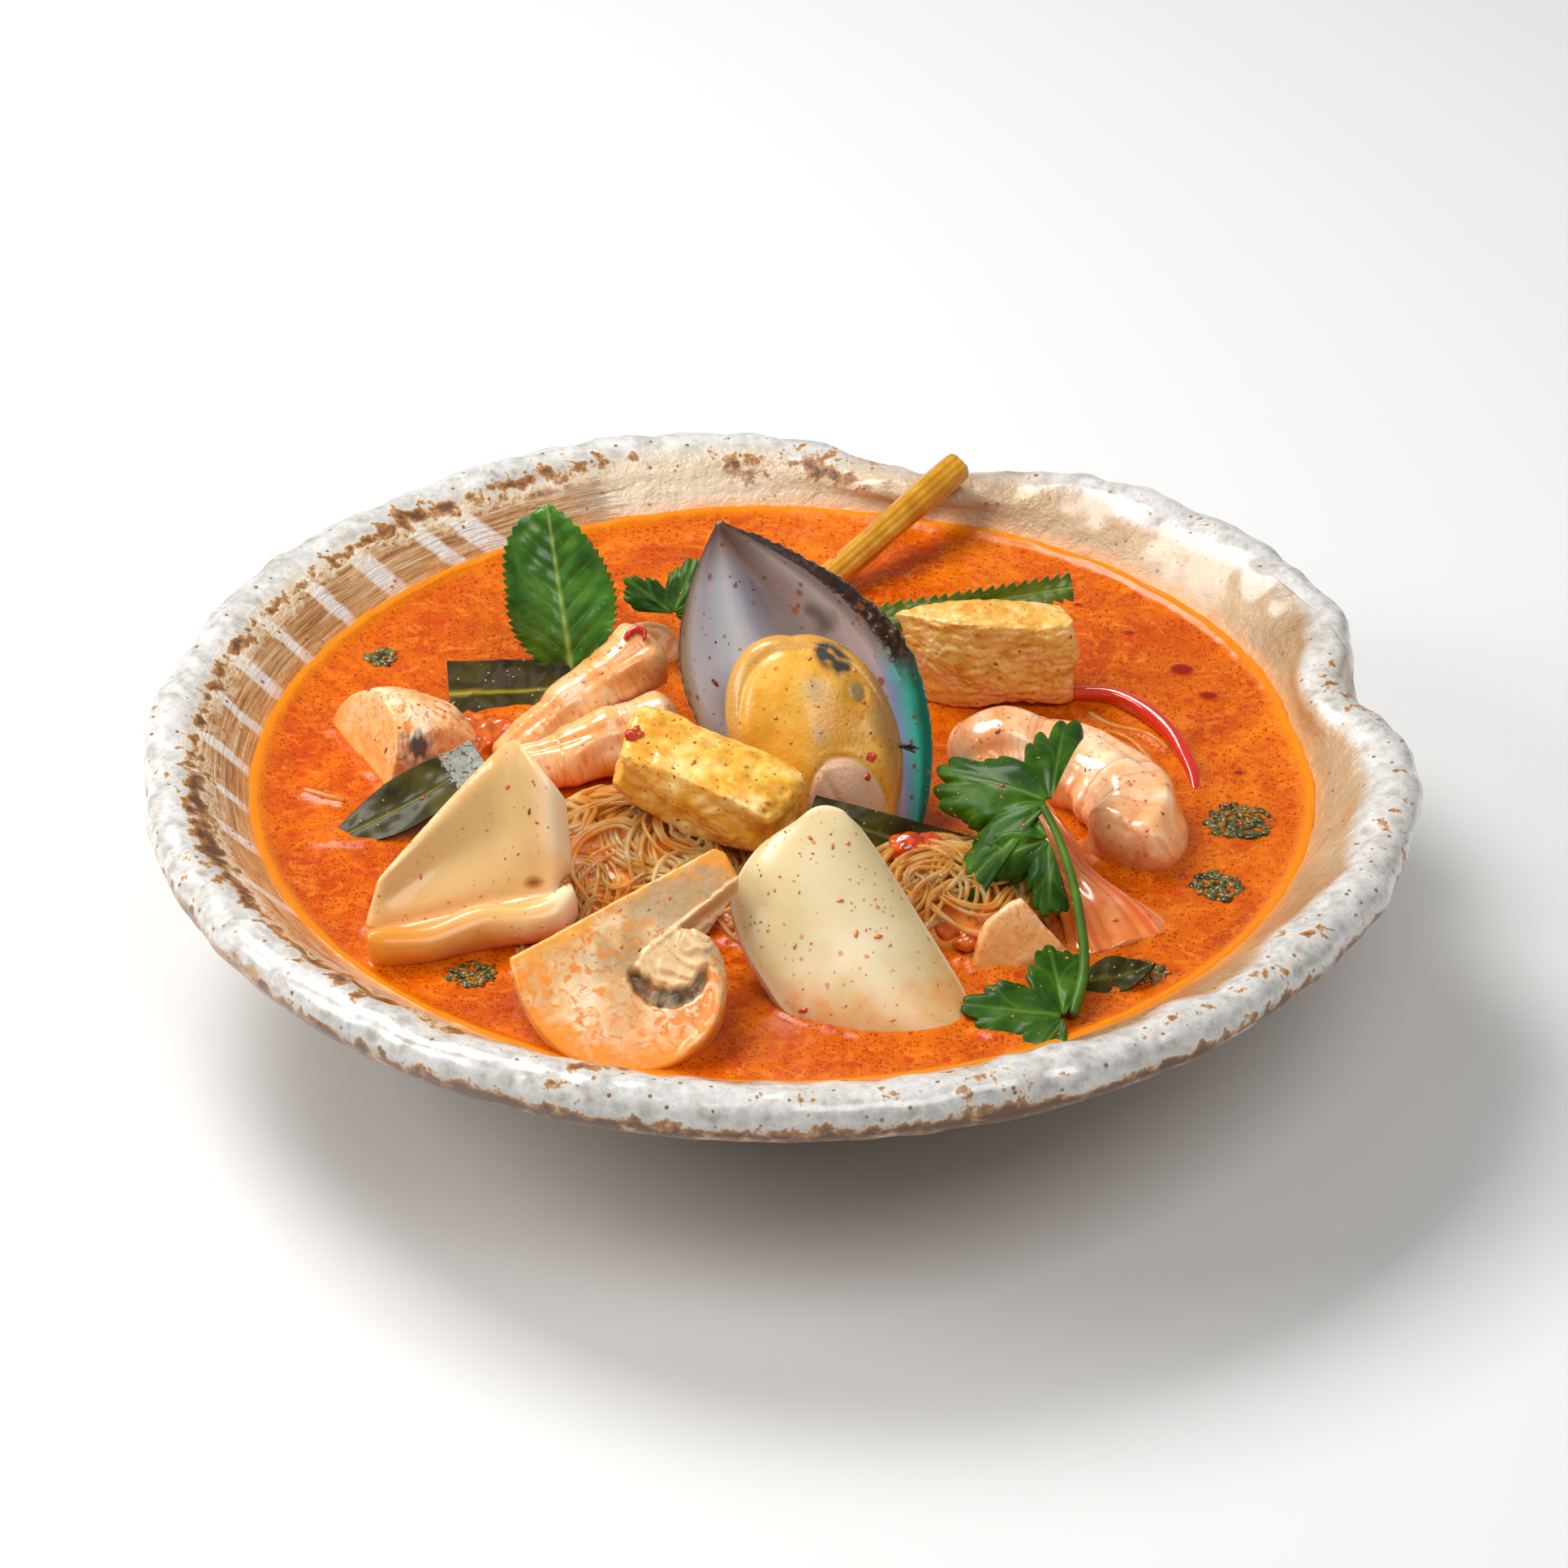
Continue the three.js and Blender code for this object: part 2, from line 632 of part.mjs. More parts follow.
    turn: [50, 0, -108],
  },
  {
    name: "lime_leaf_right",
    finish: "limeLeaf",
    made: (extra) =>
      leaf({ length: 15, half: leafWidth(4.2, 0.9), rows: 6, columns: 4, bend: 1, curl: 0.3, wave: 0.5 }, extra),
    at: [53, -69, 42.8],
    turn: [8, 0, -72],
  },
  {
    name: "coriander_stem",
    finish: "herb",
    made: () =>
      strand([[51.5, -80, 43.6], [54, -70, 48], [53, -57, 54], [50.5, -46, 58.5], [47.5, -38, 61.5]], (s) => 1.1 - 0.3 * s, 6, 10),
  },
  {
    name: "coriander_top",
    finish: "herb",
    made: (extra) => fanLeaf({ radius: 23, spread: 82, columns: 20, droop: 7, wave: 1.5 }, extra),
    at: [49, -37, 61.5],
    turn: [24, 0, 62],
  },
  {
    name: "coriander_side",
    finish: "herb",
    made: (extra) => fanLeaf({ radius: 14, spread: 88, columns: 18, droop: 4, wave: 1.2 }, extra),
    at: [48.5, -44, 58],
    turn: [30, 0, 108],
  },
  {
    name: "coriander_base",
    finish: "herb",
    made: (extra) => fanLeaf({ radius: 18, spread: 105, columns: 20, droop: 1, wave: 1 }, extra),
    at: [50, -81, 44.6],
    turn: [14, 0, 78],
  },
  {
    name: "coriander_back",
    finish: "herb",
    made: (extra) => fanLeaf({ radius: 12, spread: 105, columns: 14, droop: 2, wave: 1 }, extra),
    at: [-22, 45, 52.5],
    turn: [50, 0, -20],
  },
];

function placement({ at = [0, 0, 0], turn = [0, 0, 0] }) {
  const rotation = new THREE.Euler(...turn.map(rad));
  const quaternion = new THREE.Quaternion().setFromEuler(rotation);
  return new THREE.Matrix4().compose(new THREE.Vector3(...at), quaternion, new THREE.Vector3(1, 1, 1));
}

function meshOf(name, solid, material, matrix = new THREE.Matrix4()) {
  const geometry = geometryOf(solid).applyMatrix4(matrix.clone().invert());
  const mesh = new THREE.Mesh(geometry, material);
  mesh.name = name;
  mesh.applyMatrix4(matrix);
  return mesh;
}

// Pieces keep a small gap to each other. The noodles and the soup keep a wider and plainer one to all of them.
const bodies = [];
const rooms = [];
const pockets = [];
const tomYum = new THREE.Group();

function lessAll(solid, others) {
  return largest(others.reduce((left, other) => left.subtract(other), solid));
}

const bowlSolid = solidOf(bowl());
rooms.push(grown(bowlSolid, GAP));
tomYum.add(meshOf("bowl", bowlSolid, FINISHES.stoneware));

for (const piece of PIECES) {
  const matrix = placement(piece);
  const placed = (extra) => solidOf(piece.made(extra).applyMatrix4(matrix));
  const solid = lessAll(placed(0), rooms);
  bodies.push(solid);
  rooms.push(grown(placed(GAP), GAP));
  pockets.push(grown(placed(GAP), POCKET_GAP).simplify(0.5));
  tomYum.add(meshOf(piece.name, solid, FINISHES[piece.finish], matrix));
}

const noodleSolid = lessAll(solidOf(noodles()), pockets).simplify(0.2);
tomYum.add(meshOf("glass_noodles", noodleSolid, FINISHES.noodle));
pockets.push(grown(noodleSolid, POCKET_GAP).simplify(0.4));
const soupSolid = bodies.reduce((left, body) => left.subtract(body), lessAll(soup(), pockets));
tomYum.add(meshOf("soup", soupSolid, FINISHES.broth));

// The origin is under the middle of the whole.
const extent = new THREE.Box3().setFromObject(tomYum);
const middle = extent.getCenter(new THREE.Vector3());
tomYum.position.set(-middle.x, -middle.y, -extent.min.z);

export default tomYum;
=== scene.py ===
import math
import random
from math import cos, hypot, pi, radians, sin

import bmesh
import bpy
from mathutils import Euler, Matrix, Vector, noise
from mathutils.bvhtree import BVHTree

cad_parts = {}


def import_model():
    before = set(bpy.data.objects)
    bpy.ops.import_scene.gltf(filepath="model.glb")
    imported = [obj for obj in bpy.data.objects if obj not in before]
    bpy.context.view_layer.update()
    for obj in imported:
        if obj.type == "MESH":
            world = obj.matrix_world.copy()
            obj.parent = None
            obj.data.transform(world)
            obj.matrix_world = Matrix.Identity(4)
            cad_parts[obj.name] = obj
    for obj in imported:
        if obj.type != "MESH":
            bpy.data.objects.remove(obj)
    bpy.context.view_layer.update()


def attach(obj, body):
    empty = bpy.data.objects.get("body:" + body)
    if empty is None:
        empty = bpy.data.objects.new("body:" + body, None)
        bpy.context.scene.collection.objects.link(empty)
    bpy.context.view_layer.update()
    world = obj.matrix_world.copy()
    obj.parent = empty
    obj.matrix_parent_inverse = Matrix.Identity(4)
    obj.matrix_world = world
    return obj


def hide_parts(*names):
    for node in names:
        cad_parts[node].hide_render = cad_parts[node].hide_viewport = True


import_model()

# The setting: a plain pale table top under soft window light from behind on the left, and the camera of the
# photograph, which looks down at the bowl from the front at a good third of a right angle.
AXIS = Vector((1.32, -2.21, 0))
MM = 0.001


def linear(hex_colour):
    """An sRGB hex colour as the linear colour that shaders take."""
    parts = [int(hex_colour[i : i + 2], 16) / 255 for i in (1, 3, 5)]
    return [*(c / 12.92 if c <= 0.04045 else ((c + 0.055) / 1.055) ** 2.4 for c in parts), 1]


def add(tree, kind, inputs=None, out=0, stops=(), **settings):
    """Adds a shader node with its settings, its inputs as values or links, and the stops of a colour ramp.
    Gives back one of its outputs, or the whole node where several of them are used."""
    made = tree.nodes.new("ShaderNode" + kind)
    for name, value in settings.items():
        setattr(made, name, value)
    for name, value in (inputs or {}).items():
        if isinstance(value, bpy.types.NodeSocket):
            tree.links.new(value, made.inputs[name])
        else:
            made.inputs[name].default_value = value
    for i, (position, colour) in enumerate(stops):
        ramp = made.color_ramp.elements
        stop = ramp[i] if i < 2 else ramp.new(position)
        stop.position = position
        stop.color = linear(colour)
    return made if out is None else made.outputs[out]


def new_material(name):
    """A bare material: its tree, its surface shader, and the place on the object as a texture coordinate."""
    made = bpy.data.materials.new(name)
    made.use_nodes = True
    tree = made.node_tree
    shader = tree.nodes["Principled BSDF"]
    place = add(tree, "TexCoord", out="Object")
    return made, tree, shader, place


table, _, table_shader, _ = new_material("matt_white_table")
table_shader.inputs["Base Color"].default_value = linear("#dfdedc")
table_shader.inputs["Roughness"].default_value = 0.7
bpy.ops.mesh.primitive_plane_add(size=6)
floor = bpy.context.object
floor.name = "table_top"
floor.data.materials.append(table)

sky = bpy.data.worlds.new("soft_room_light")
bpy.context.scene.world = sky
sky.use_nodes = True
sky.node_tree.nodes["Background"].inputs["Color"].default_value = linear("#f7f9fc")
sky.node_tree.nodes["Background"].inputs["Strength"].default_value = 0.26


def soft_light(name, place, size, power):
    """A square window of light, turned towards the soup."""
    lamp = bpy.data.lights.new(name, "AREA")
    lamp.size = size
    lamp.energy = power
    hung = bpy.data.objects.new(name, lamp)
    bpy.context.scene.collection.objects.link(hung)
    hung.location = place
    hung.rotation_euler = (Vector((0, 0, 0.04)) - Vector(place)).to_track_quat("-Z", "Y").to_euler()


soft_light("window_behind", (-0.45, 0.4, 0.95), 0.5, 11)
soft_light("window_left", (-0.8, -0.15, 0.6), 0.4, 4)
soft_light("fill_front", (0.35, -0.6, 1.15), 0.7, 6)

# The photograph is 1932 pixels wide, and its focal length comes to 5886 of them.
PHOTO_WIDTH = 1932
FOCAL_LENGTH = 5886
SENSOR_WIDTH = 36
ELEVATION = radians(33)
DISTANCE = 0.9
forwards = Vector((0, cos(ELEVATION), -sin(ELEVATION)))
target = (AXIS + Vector((0, -18, 53))) * MM
eye = target - forwards * DISTANCE
camera = bpy.data.objects.new("camera", bpy.data.cameras.new("camera"))
bpy.context.scene.collection.objects.link(camera)
camera.location = eye
camera.rotation_euler = forwards.to_track_quat("-Z", "Y").to_euler()
camera.data.sensor_width = SENSOR_WIDTH
camera.data.lens = SENSOR_WIDTH / PHOTO_WIDTH * FOCAL_LENGTH
bpy.context.scene.camera = camera
bpy.context.scene.view_settings.view_transform = "Standard"

# The bowl: thick hand-made stoneware, thrown round, pushed in at two places on its rim, and dipped in a white
# glaze that beads on the lip. Where the glaze is thin the iron in the clay breaks through brown. The left of
# its inside has a brown brushed wash, combed with pale stripes in one direction.
BOWL_RADIUS = 122
RIM_HEIGHT = 53
SOUP_LEVEL = 42
SOUP_RADIUS = 101
FOOT_RADIUS = 46
BOWL_MIDDLE = Vector((-0.3, 2.6, 0))
# The two dents in the rim, each as its place round it, its width in degrees, its depth and its drop.
NOTCHES = [(9, 6.5, 10, 1), (75, 9.5, 11, 3.5)]


def smooth(x, low, high):
    """0 up to low, 1 from high on, and a soft step between them."""
    share = min(1, max(0, (x - low) / (high - low)))
    return share * share * (3 - 2 * share)


def hand_made(p):
    """Moves a point of the round bowl to where the potter's hands left it."""
    radius = hypot(p.x, p.y)
    angle = math.atan2(p.y, p.x)
    rim = smooth(p.z, SOUP_LEVEL - 2, RIM_HEIGHT - 3) * smooth(radius, SOUP_RADIUS, BOWL_RADIUS - 8)
    wall = smooth(radius, FOOT_RADIUS, SOUP_RADIUS)
    out = up = 0
    for at, width, depth, drop in NOTCHES:
        away = (math.degrees(angle) - at + 540) % 360 - 180
        share = math.exp(-away * away / (2 * width * width))
        out -= depth * share * (0.15 * wall + 0.85 * rim)
        up -= drop * share * rim
    return p + Vector((out * cos(angle), out * sin(angle), up)) + BOWL_MIDDLE


food = {}


def finish(bm, name, node_names, materials):
    """Turns a bmesh worked out in millimetres round the bowl's axis into a piece that stands for its
    solids."""
    bmesh.ops.transform(bm, matrix=Matrix.Scale(MM, 4) @ Matrix.Translation(AXIS), verts=bm.verts)
    mesh = bpy.data.meshes.new(name)
    bm.to_mesh(mesh)
    bm.free()
    mesh.polygons.foreach_set("use_smooth", [True] * len(mesh.polygons))
    piece = bpy.data.objects.new(name, mesh)
    bpy.context.scene.collection.objects.link(piece)
    for made in materials:
        mesh.materials.append(made)
    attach(piece, "root")
    if node_names:
        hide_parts(*node_names)
    food[name] = piece


def bowl_profile():
    """Half the bowl's section, from the middle of its floor over the lip to the foot, rounded by a fine
    curve."""
    corners = [(0, 9), (50, 12.5), (82, 26.5), (101, 42), (110, 49.5), (114.6, 52.4), (118, 53.4)]
    corners += [(121.2, 52.2), (122.4, 48.5), (121, 45), (117.3, 42.2), (102, 32), (82, 18.5), (60, 8.5)]
    corners += [(50, 5), (46.6, 2.5), (46, 0), (39, 0), (38.4, 1.6), (36, 2.5), (0, 2.5)]
    fine = []
    for i in range(len(corners) - 1):
        before, a, b, after = (
            Vector(corners[min(max(k, 0), len(corners) - 1)]) for k in (i - 1, i, i + 1, i + 2)
        )
        steps = max(1, round((b - a).length / (2.4 if a.x > 98 and a.y > 36 else 6)))
        for step in range(steps):
            t = step / steps
            bend = (b - before) * t * (1 - t) ** 2 * 0.5 - (after - a) * t * t * (1 - t) * 0.5
            straight = a.lerp(b, t * t * (3 - 2 * t))
            fine.append(straight + bend if 0 < i < len(corners) - 2 else a.lerp(b, t))
    return [*fine, Vector(corners[-1])]


AROUND = 400
bowl_bm = bmesh.new()
profile = bowl_profile()
ring = [bowl_bm.verts.new((at.x, 0, at.y)) for at in profile]
edges = [bowl_bm.edges.new(pair) for pair in zip(ring, ring[1:])]
bmesh.ops.spin(
    bowl_bm, geom=[*ring, *edges], cent=(0, 0, 0), axis=(0, 0, 1), dvec=(0, 0, 0), angle=2 * pi, steps=AROUND,
    use_merge=True
)
bmesh.ops.remove_doubles(bowl_bm, verts=bowl_bm.verts, dist=0.001)
bmesh.ops.recalc_face_normals(bowl_bm, faces=bowl_bm.faces)
bowl_bm.normal_update()
iron_layer = bowl_bm.verts.layers.float.new("iron")
lifts = {}
for v in bowl_bm.verts:
    radius, angle = hypot(v.co.x, v.co.y), math.atan2(v.co.y, v.co.x)
    lip = smooth(v.co.z, 43.5, 50) * smooth(radius, 106, 113)
    wall = smooth(v.co.z, 4, 20)
    beads = noise.noise(v.co / 6.2) + 0.12 * noise.noise(v.co / 3 + Vector((9, 0, 0)))
    swell = noise.noise(v.co / 15)
    dimples = noise.noise(v.co / 6 + Vector((0, 40, 0)))
    lifts[v] = lip * (0.95 * beads + 1.1 * swell) + (1 - lip) * wall * 0.28 * dimples
    # Iron shows most along the lip's inner edge on the left, its crest at the back and its lower edge.
    inner_edge = math.exp(-(((radius - 112.5) / 2.8) ** 2)) * (0.5 - 0.4 * cos(angle)) * (v.co.z > 48)
    crest = math.exp(-(((radius - 119.5) / 1.6) ** 2)) * (0.6 + 0.3 * cos(angle + 0.4)) * (v.co.z > 50)
    lower_edge = math.exp(-(((v.co.z - 46.5) / 3) ** 2)) * (0.95 - 0.2 * sin(angle)) * (radius > 116)
    patch = math.exp(-(((v.co.x + 9) / 6) ** 2) - ((v.co.y - 109) / 4) ** 2)
    v[iron_layer] = max(inner_edge, crest, lower_edge, 0.8 * patch)
for v, lift in lifts.items():
    v.co += v.normal * lift
for v in bowl_bm.verts:
    v.co = hand_made(v.co)


def specked(tree, place, before, spacing_mm, share, colour, most=0.85, edge=(0.27, 0.17)):
    """Lays small specks of a colour over another: a share of the cells of a fixed spacing holds one each.
    edge is how far from the middle of its cell a speck ends and where it is full."""
    cells = add(tree, "TexVoronoi", {"Vector": place, "Scale": 1000 / spacing_mm}, out=None)
    nearness = {"Value": cells.outputs["Distance"], "From Min": edge[0], "From Max": edge[1], "To Max": most}
    close = add(tree, "MapRange", nearness)
    chance = add(tree, "SeparateColor", {"Color": cells.outputs["Color"]})
    chosen = add(tree, "Math", {0: chance, 1: 1 - share}, operation="GREATER_THAN")
    here = add(tree, "Math", {0: close, 1: chosen}, operation="MULTIPLY")
    return add(tree, "Mix", {"Factor": here, 6: before, 7: linear(colour)}, out=2, data_type="RGBA")


# Stoneware under a tin-white glaze: thick and glossy on the lip, greyer where it pools, cream where it thins
# over the clay, and rust brown where the iron in the clay has burnt through at the edges.
stoneware, tree, shader, place = new_material("white_glazed_stoneware")
height = add(tree, "SeparateXYZ", {"Vector": place}, out="Z")
from_middle = add(tree, "VectorMath", {0: place, 1: (AXIS + BOWL_MIDDLE) * MM}, operation="SUBTRACT")
flat = add(tree, "VectorMath", {0: from_middle, 1: (1000, 1000, 0)}, operation="MULTIPLY")
radius = add(tree, "VectorMath", {0: flat}, out="Value", operation="LENGTH")
sides = add(tree, "SeparateXYZ", {"Vector": flat}, out=None)
leftwards = add(tree, "Math", {0: sides.outputs["X"], 1: -1.0}, operation="MULTIPLY")
turn = add(tree, "Math", {0: sides.outputs["Y"], 1: leftwards}, operation="ARCTAN2")
facing_up = add(tree, "SeparateXYZ", {"Vector": add(tree, "NewGeometry", out="Normal")}, out="Z")
outside = add(tree, "Math", {0: facing_up, 1: 0.02}, operation="LESS_THAN")
wide_drift = add(tree, "TexNoise", {"Vector": place, "Scale": 1000 / 24, "Detail": 3.0})
fine_drift = add(tree, "TexNoise", {"Vector": place, "Scale": 1000 / 3.2, "Detail": 5.0, "Roughness": 0.62})
# The inside wall: thin glaze over clay, beige on the right and paler on the left, with faint turning lines.
turning_at = add(tree, "CombineXYZ", {0: radius, 1: turn, 2: 0.0})
turning_scale = add(tree, "Mapping", {"Vector": turning_at, "Scale": (0.7, 2.5, 1.0)})
turning = add(tree, "TexNoise", {"Vector": turning_scale, "Scale": 1.0, "Detail": 3.0})
rightness = add(tree, "MapRange", {"Value": sides.outputs["X"], "From Min": -30.0, "From Max": 60.0})
pale = add(tree, "ValToRGB", {"Fac": turning}, stops=[(0.3, "#d2bb99"), (0.7, "#e4d2b6")])
beige = add(tree, "ValToRGB", {"Fac": wide_drift}, stops=[(0.35, "#a58258"), (0.65, "#c3a279")])
thin_coat = add(tree, "Mix", {"Factor": rightness, 6: pale, 7: beige}, out=2, data_type="RGBA")
# White glaze lies thick over the lip. Its lower edges waver by a few millimetres.
wavering = add(tree, "Math", {0: wide_drift, 1: 0.006, 2: height}, operation="MULTIPLY_ADD")
over_edge = add(tree, "MapRange", {"Value": radius, "From Min": 115.0, "From Max": 118.0, "To Max": 0.01})
dipped = add(tree, "Math", {0: wavering, 1: over_edge}, operation="ADD")
lip_share = add(
    tree, "MapRange", {"Value": dipped, "From Min": 0.0528, "From Max": 0.0556},
    interpolation_type="SMOOTHSTEP"
)
lip_white = add(
    tree, "ValToRGB", {"Fac": fine_drift}, stops=[(0.3, "#aaa398"), (0.46, "#c8c4bd"), (0.62, "#dedbd6")]
)
lipped = add(tree, "Mix", {"Factor": lip_share, 6: thin_coat, 7: lip_white}, out=2, data_type="RGBA")
# The brushed wash: brown slip laid on round the wall with a coarse brush, whose hairs left fine lines.
hair_scale = add(tree, "Mapping", {"Vector": turning_at, "Scale": (1.25, 5.0, 1.0)})
hair = add(tree, "TexNoise", {"Vector": hair_scale, "Scale": 1.0, "Detail": 5.0, "Roughness": 0.7})
wash = add(
    tree, "ValToRGB", {"Fac": hair},
    stops=[(0.3, "#84501f"), (0.42, "#ab7236"), (0.5, "#c8955a"), (0.6, "#dbb88a"), (0.72, "#eddcc2")]
)
# Pale stripes were combed across the wash, all in one direction. Each is (mm from the middle, mm wide).
STRIPES = [
    (67, 5), (59, 3), (45, 4.5), (31, 3.2), (15, 3), (1, 4), (-13, 2.4), (-27, 3), (-40, 2), (-53, 3),
    (-70, 3)
]
across = add(tree, "VectorMath", {0: flat, 1: (0.259, 0.966, 0.0)}, out="Value", operation="DOT_PRODUCT")
shaky = add(tree, "Math", {0: fine_drift, 1: 2.2, 2: across}, operation="MULTIPLY_ADD")
stripe = 0.0
for at, width in STRIPES:
    away = add(tree, "Math", {0: shaky, 1: at}, operation="SUBTRACT")
    away = add(tree, "Math", {0: away}, operation="ABSOLUTE")
    band = add(tree, "MapRange", {"Value": away, "From Min": width / 2 + 0.5, "From Max": width / 2 - 0.3})
    stripe = add(tree, "Math", {0: stripe, 1: band}, operation="MAXIMUM")
striped = add(tree, "Mix", {"Factor": stripe, 6: wash, 7: linear("#ebe4da")}, out=2, data_type="RGBA")
# It covers the left of the inside, up to ragged ends and to the foot of the lip's white.
to_side = add(tree, "Math", {0: turn, 1: radians(13)}, operation="SUBTRACT")
to_side = add(tree, "Math", {0: to_side}, operation="ABSOLUTE")
ragged = add(tree, "Math", {0: hair, 1: 0.35, 2: to_side}, operation="MULTIPLY_ADD")
side_share = add(tree, "MapRange", {"Value": ragged, "From Min": 1.17, "From Max": 1.1})
worn = add(tree, "Math", {0: fine_drift, 1: 0.008, 2: wavering}, operation="MULTIPLY_ADD")
under_lip = add(tree, "MapRange", {"Value": worn, "From Min": 0.0575, "From Max": 0.0555})
wash_share = add(tree, "Math", {0: side_share, 1: under_lip}, operation="MULTIPLY")
washed = add(tree, "Mix", {"Factor": wash_share, 6: lipped, 7: striped}, out=2, data_type="RGBA")
# Iron burnt through the glaze: golden at the edge of each patch and dark brown inside it.
iron = add(tree, "Attribute", out="Fac", attribute_name="iron")
patches = add(tree, "Math", {0: wide_drift, 1: 0.6, 2: fine_drift}, operation="MULTIPLY_ADD")
burnt = add(tree, "Math", {0: iron, 1: 0.4, 2: patches}, operation="MULTIPLY_ADD")
burnt_share = add(tree, "MapRange", {"Value": burnt, "From Min": 1.03, "From Max": 1.08})
burnt_colour = add(
    tree, "ValToRGB", {"Fac": add(tree, "MapRange", {"Value": burnt, "From Min": 1.03, "From Max": 1.28})},
    stops=[(0.0, "#c09a62"), (0.35, "#a06a30"), (0.8, "#5c3618")]
)
# Fine iron specks, one every few millimetres.
speckled = specked(tree, place, washed, 2.6, 0.4, "#8a6748", 1.0, (0.2, 0.12))
# Broth has dried in a thin orange film just above the soup.
film = add(tree, "Math", {0: fine_drift, 1: -0.004, 2: height}, operation="MULTIPLY_ADD")
film_share = add(tree, "MapRange", {"Value": film, "From Min": 0.0435, "From Max": 0.0405, "To Max": 0.75})
inside_film = add(tree, "MapRange", {"Value": radius, "From Min": 112.0, "From Max": 110.0})
film_here = add(tree, "Math", {0: film_share, 1: inside_film}, operation="MULTIPLY")
filmed = add(tree, "Mix", {"Factor": film_here, 6: speckled, 7: linear("#f09a4a")}, out=2, data_type="RGBA")
# The outside below the lip: bare clay in level turning lines, brushed with white.
outside_lines = add(tree, "Mapping", {"Vector": place, "Scale": (70.0, 70.0, 900.0)})
brushed = add(tree, "TexNoise", {"Vector": outside_lines, "Scale": 1.0, "Detail": 4.0})
clay = add(
    tree, "ValToRGB", {"Fac": brushed}, stops=[(0.32, "#8c6541"), (0.48, "#c4a98a"), (0.64, "#e4dacb")]
)
low_edge = add(tree, "MapRange", {"Value": wavering, "From Min": 0.0492, "From Max": 0.0462})
outside_low = add(tree, "Math", {0: low_edge, 1: outside}, operation="MULTIPLY")
glazed = add(tree, "Mix", {"Factor": outside_low, 6: filmed, 7: clay}, out=2, data_type="RGBA")
rusty = add(tree, "Mix", {"Factor": burnt_share, 6: glazed, 7: burnt_colour}, out=2, data_type="RGBA")
tree.links.new(rusty, shader.inputs["Base Color"])
dull = add(tree, "MapRange", {"Value": burnt_share, "To Min": 0.18, "To Max": 0.45})
tree.links.new(dull, shader.inputs["Roughness"])
ridged = add(tree, "Math", {0: wash_share, 1: hair}, operation="MULTIPLY")
relief = add(tree, "Math", {0: ridged, 1: 1.2, 2: fine_drift}, operation="MULTIPLY_ADD")
thick = add(tree, "MapRange", {"Value": lip_share, "To Min": 1.0, "To Max": 0.1})
softened = add(tree, "Math", {0: relief, 1: thick}, operation="MULTIPLY")
bump = add(tree, "Bump", {"Height": softened, "Strength": 0.8, "Distance": 0.0014})
tree.links.new(bump, shader.inputs["Normal"])
shader.inputs["IOR"].default_value = 1.52
shader.inputs["Coat Weight"].default_value = 0.6
shader.inputs["Coat Roughness"].default_value = 0.16

finish(bowl_bm, "stoneware_bowl", ["bowl"], [stoneware])

# The mussel: one half of a green-lipped mussel shell standing up out of the soup, with its cooked body lying
# in the lower half. The shell's inside is smooth mother-of-pearl, its outside and upper lip rough and nearly
# black, and a narrow band down its right lip shines blue and sea green.
SHELL_LENGTH = 80
SHELL_DEPTH = 12.5


def cube(cuts):
    """A cube from -1 to 1 with its faces cut into even cells, to be shaped into a block or a sheet."""
    bm = bmesh.new()
    bmesh.ops.create_cube(bm, size=2)
    bmesh.ops.subdivide_edges(bm, edges=bm.edges, cuts=cuts, use_grid_fill=True)
    return bm


def thicken(bm, thickness):
    """Gives a sheet its underside, straight below it, so that its thin teeth stay sharp."""
    under = bmesh.ops.extrude_face_region(bm, geom=bm.faces[:])["geom"]
    lower = [part for part in under if isinstance(part, bmesh.types.BMVert)]
    bmesh.ops.translate(bm, vec=(0, 0, -thickness), verts=lower)
    bmesh.ops.recalc_face_normals(bm, faces=bm.faces)


def lay(bm, at, turn=(0, 0, 0)):
    """Turns and moves a finished shape to where its solid lies: about Z first, then Y, then X."""
    turned = Euler([radians(t) for t in turn], "ZYX").to_matrix().to_4x4()
    bmesh.ops.transform(bm, matrix=Matrix.Translation(at) @ turned, verts=bm.verts)


def record(bm, name, value_at):
    """Keeps a number for each vertex, worked out from its place, for a material to read by name."""
    layer = bm.verts.layers.float.new(name)
    for v in bm.verts:
        v[layer] = value_at(v.co)


def mark(distance, width):
    """1 on a line, falling softly to 0 a width or two away from it."""
    return math.exp(-((distance / width) ** 2))


def shell_half(share, right):
    """Half the shell's width: straight from the hinge, widest at each side's own place, round at the foot."""
    widest, at, spread = (24.7, 38, 1.75) if right else (18, 30, 2)
    down = share * SHELL_LENGTH
    above = 1 - max(0, 1 - down / at) ** spread
    below = max(0, 1 - (max(0, down - at) / (SHELL_LENGTH - at)) ** 2) ** 0.75
    return max(0.8, widest * above * below)


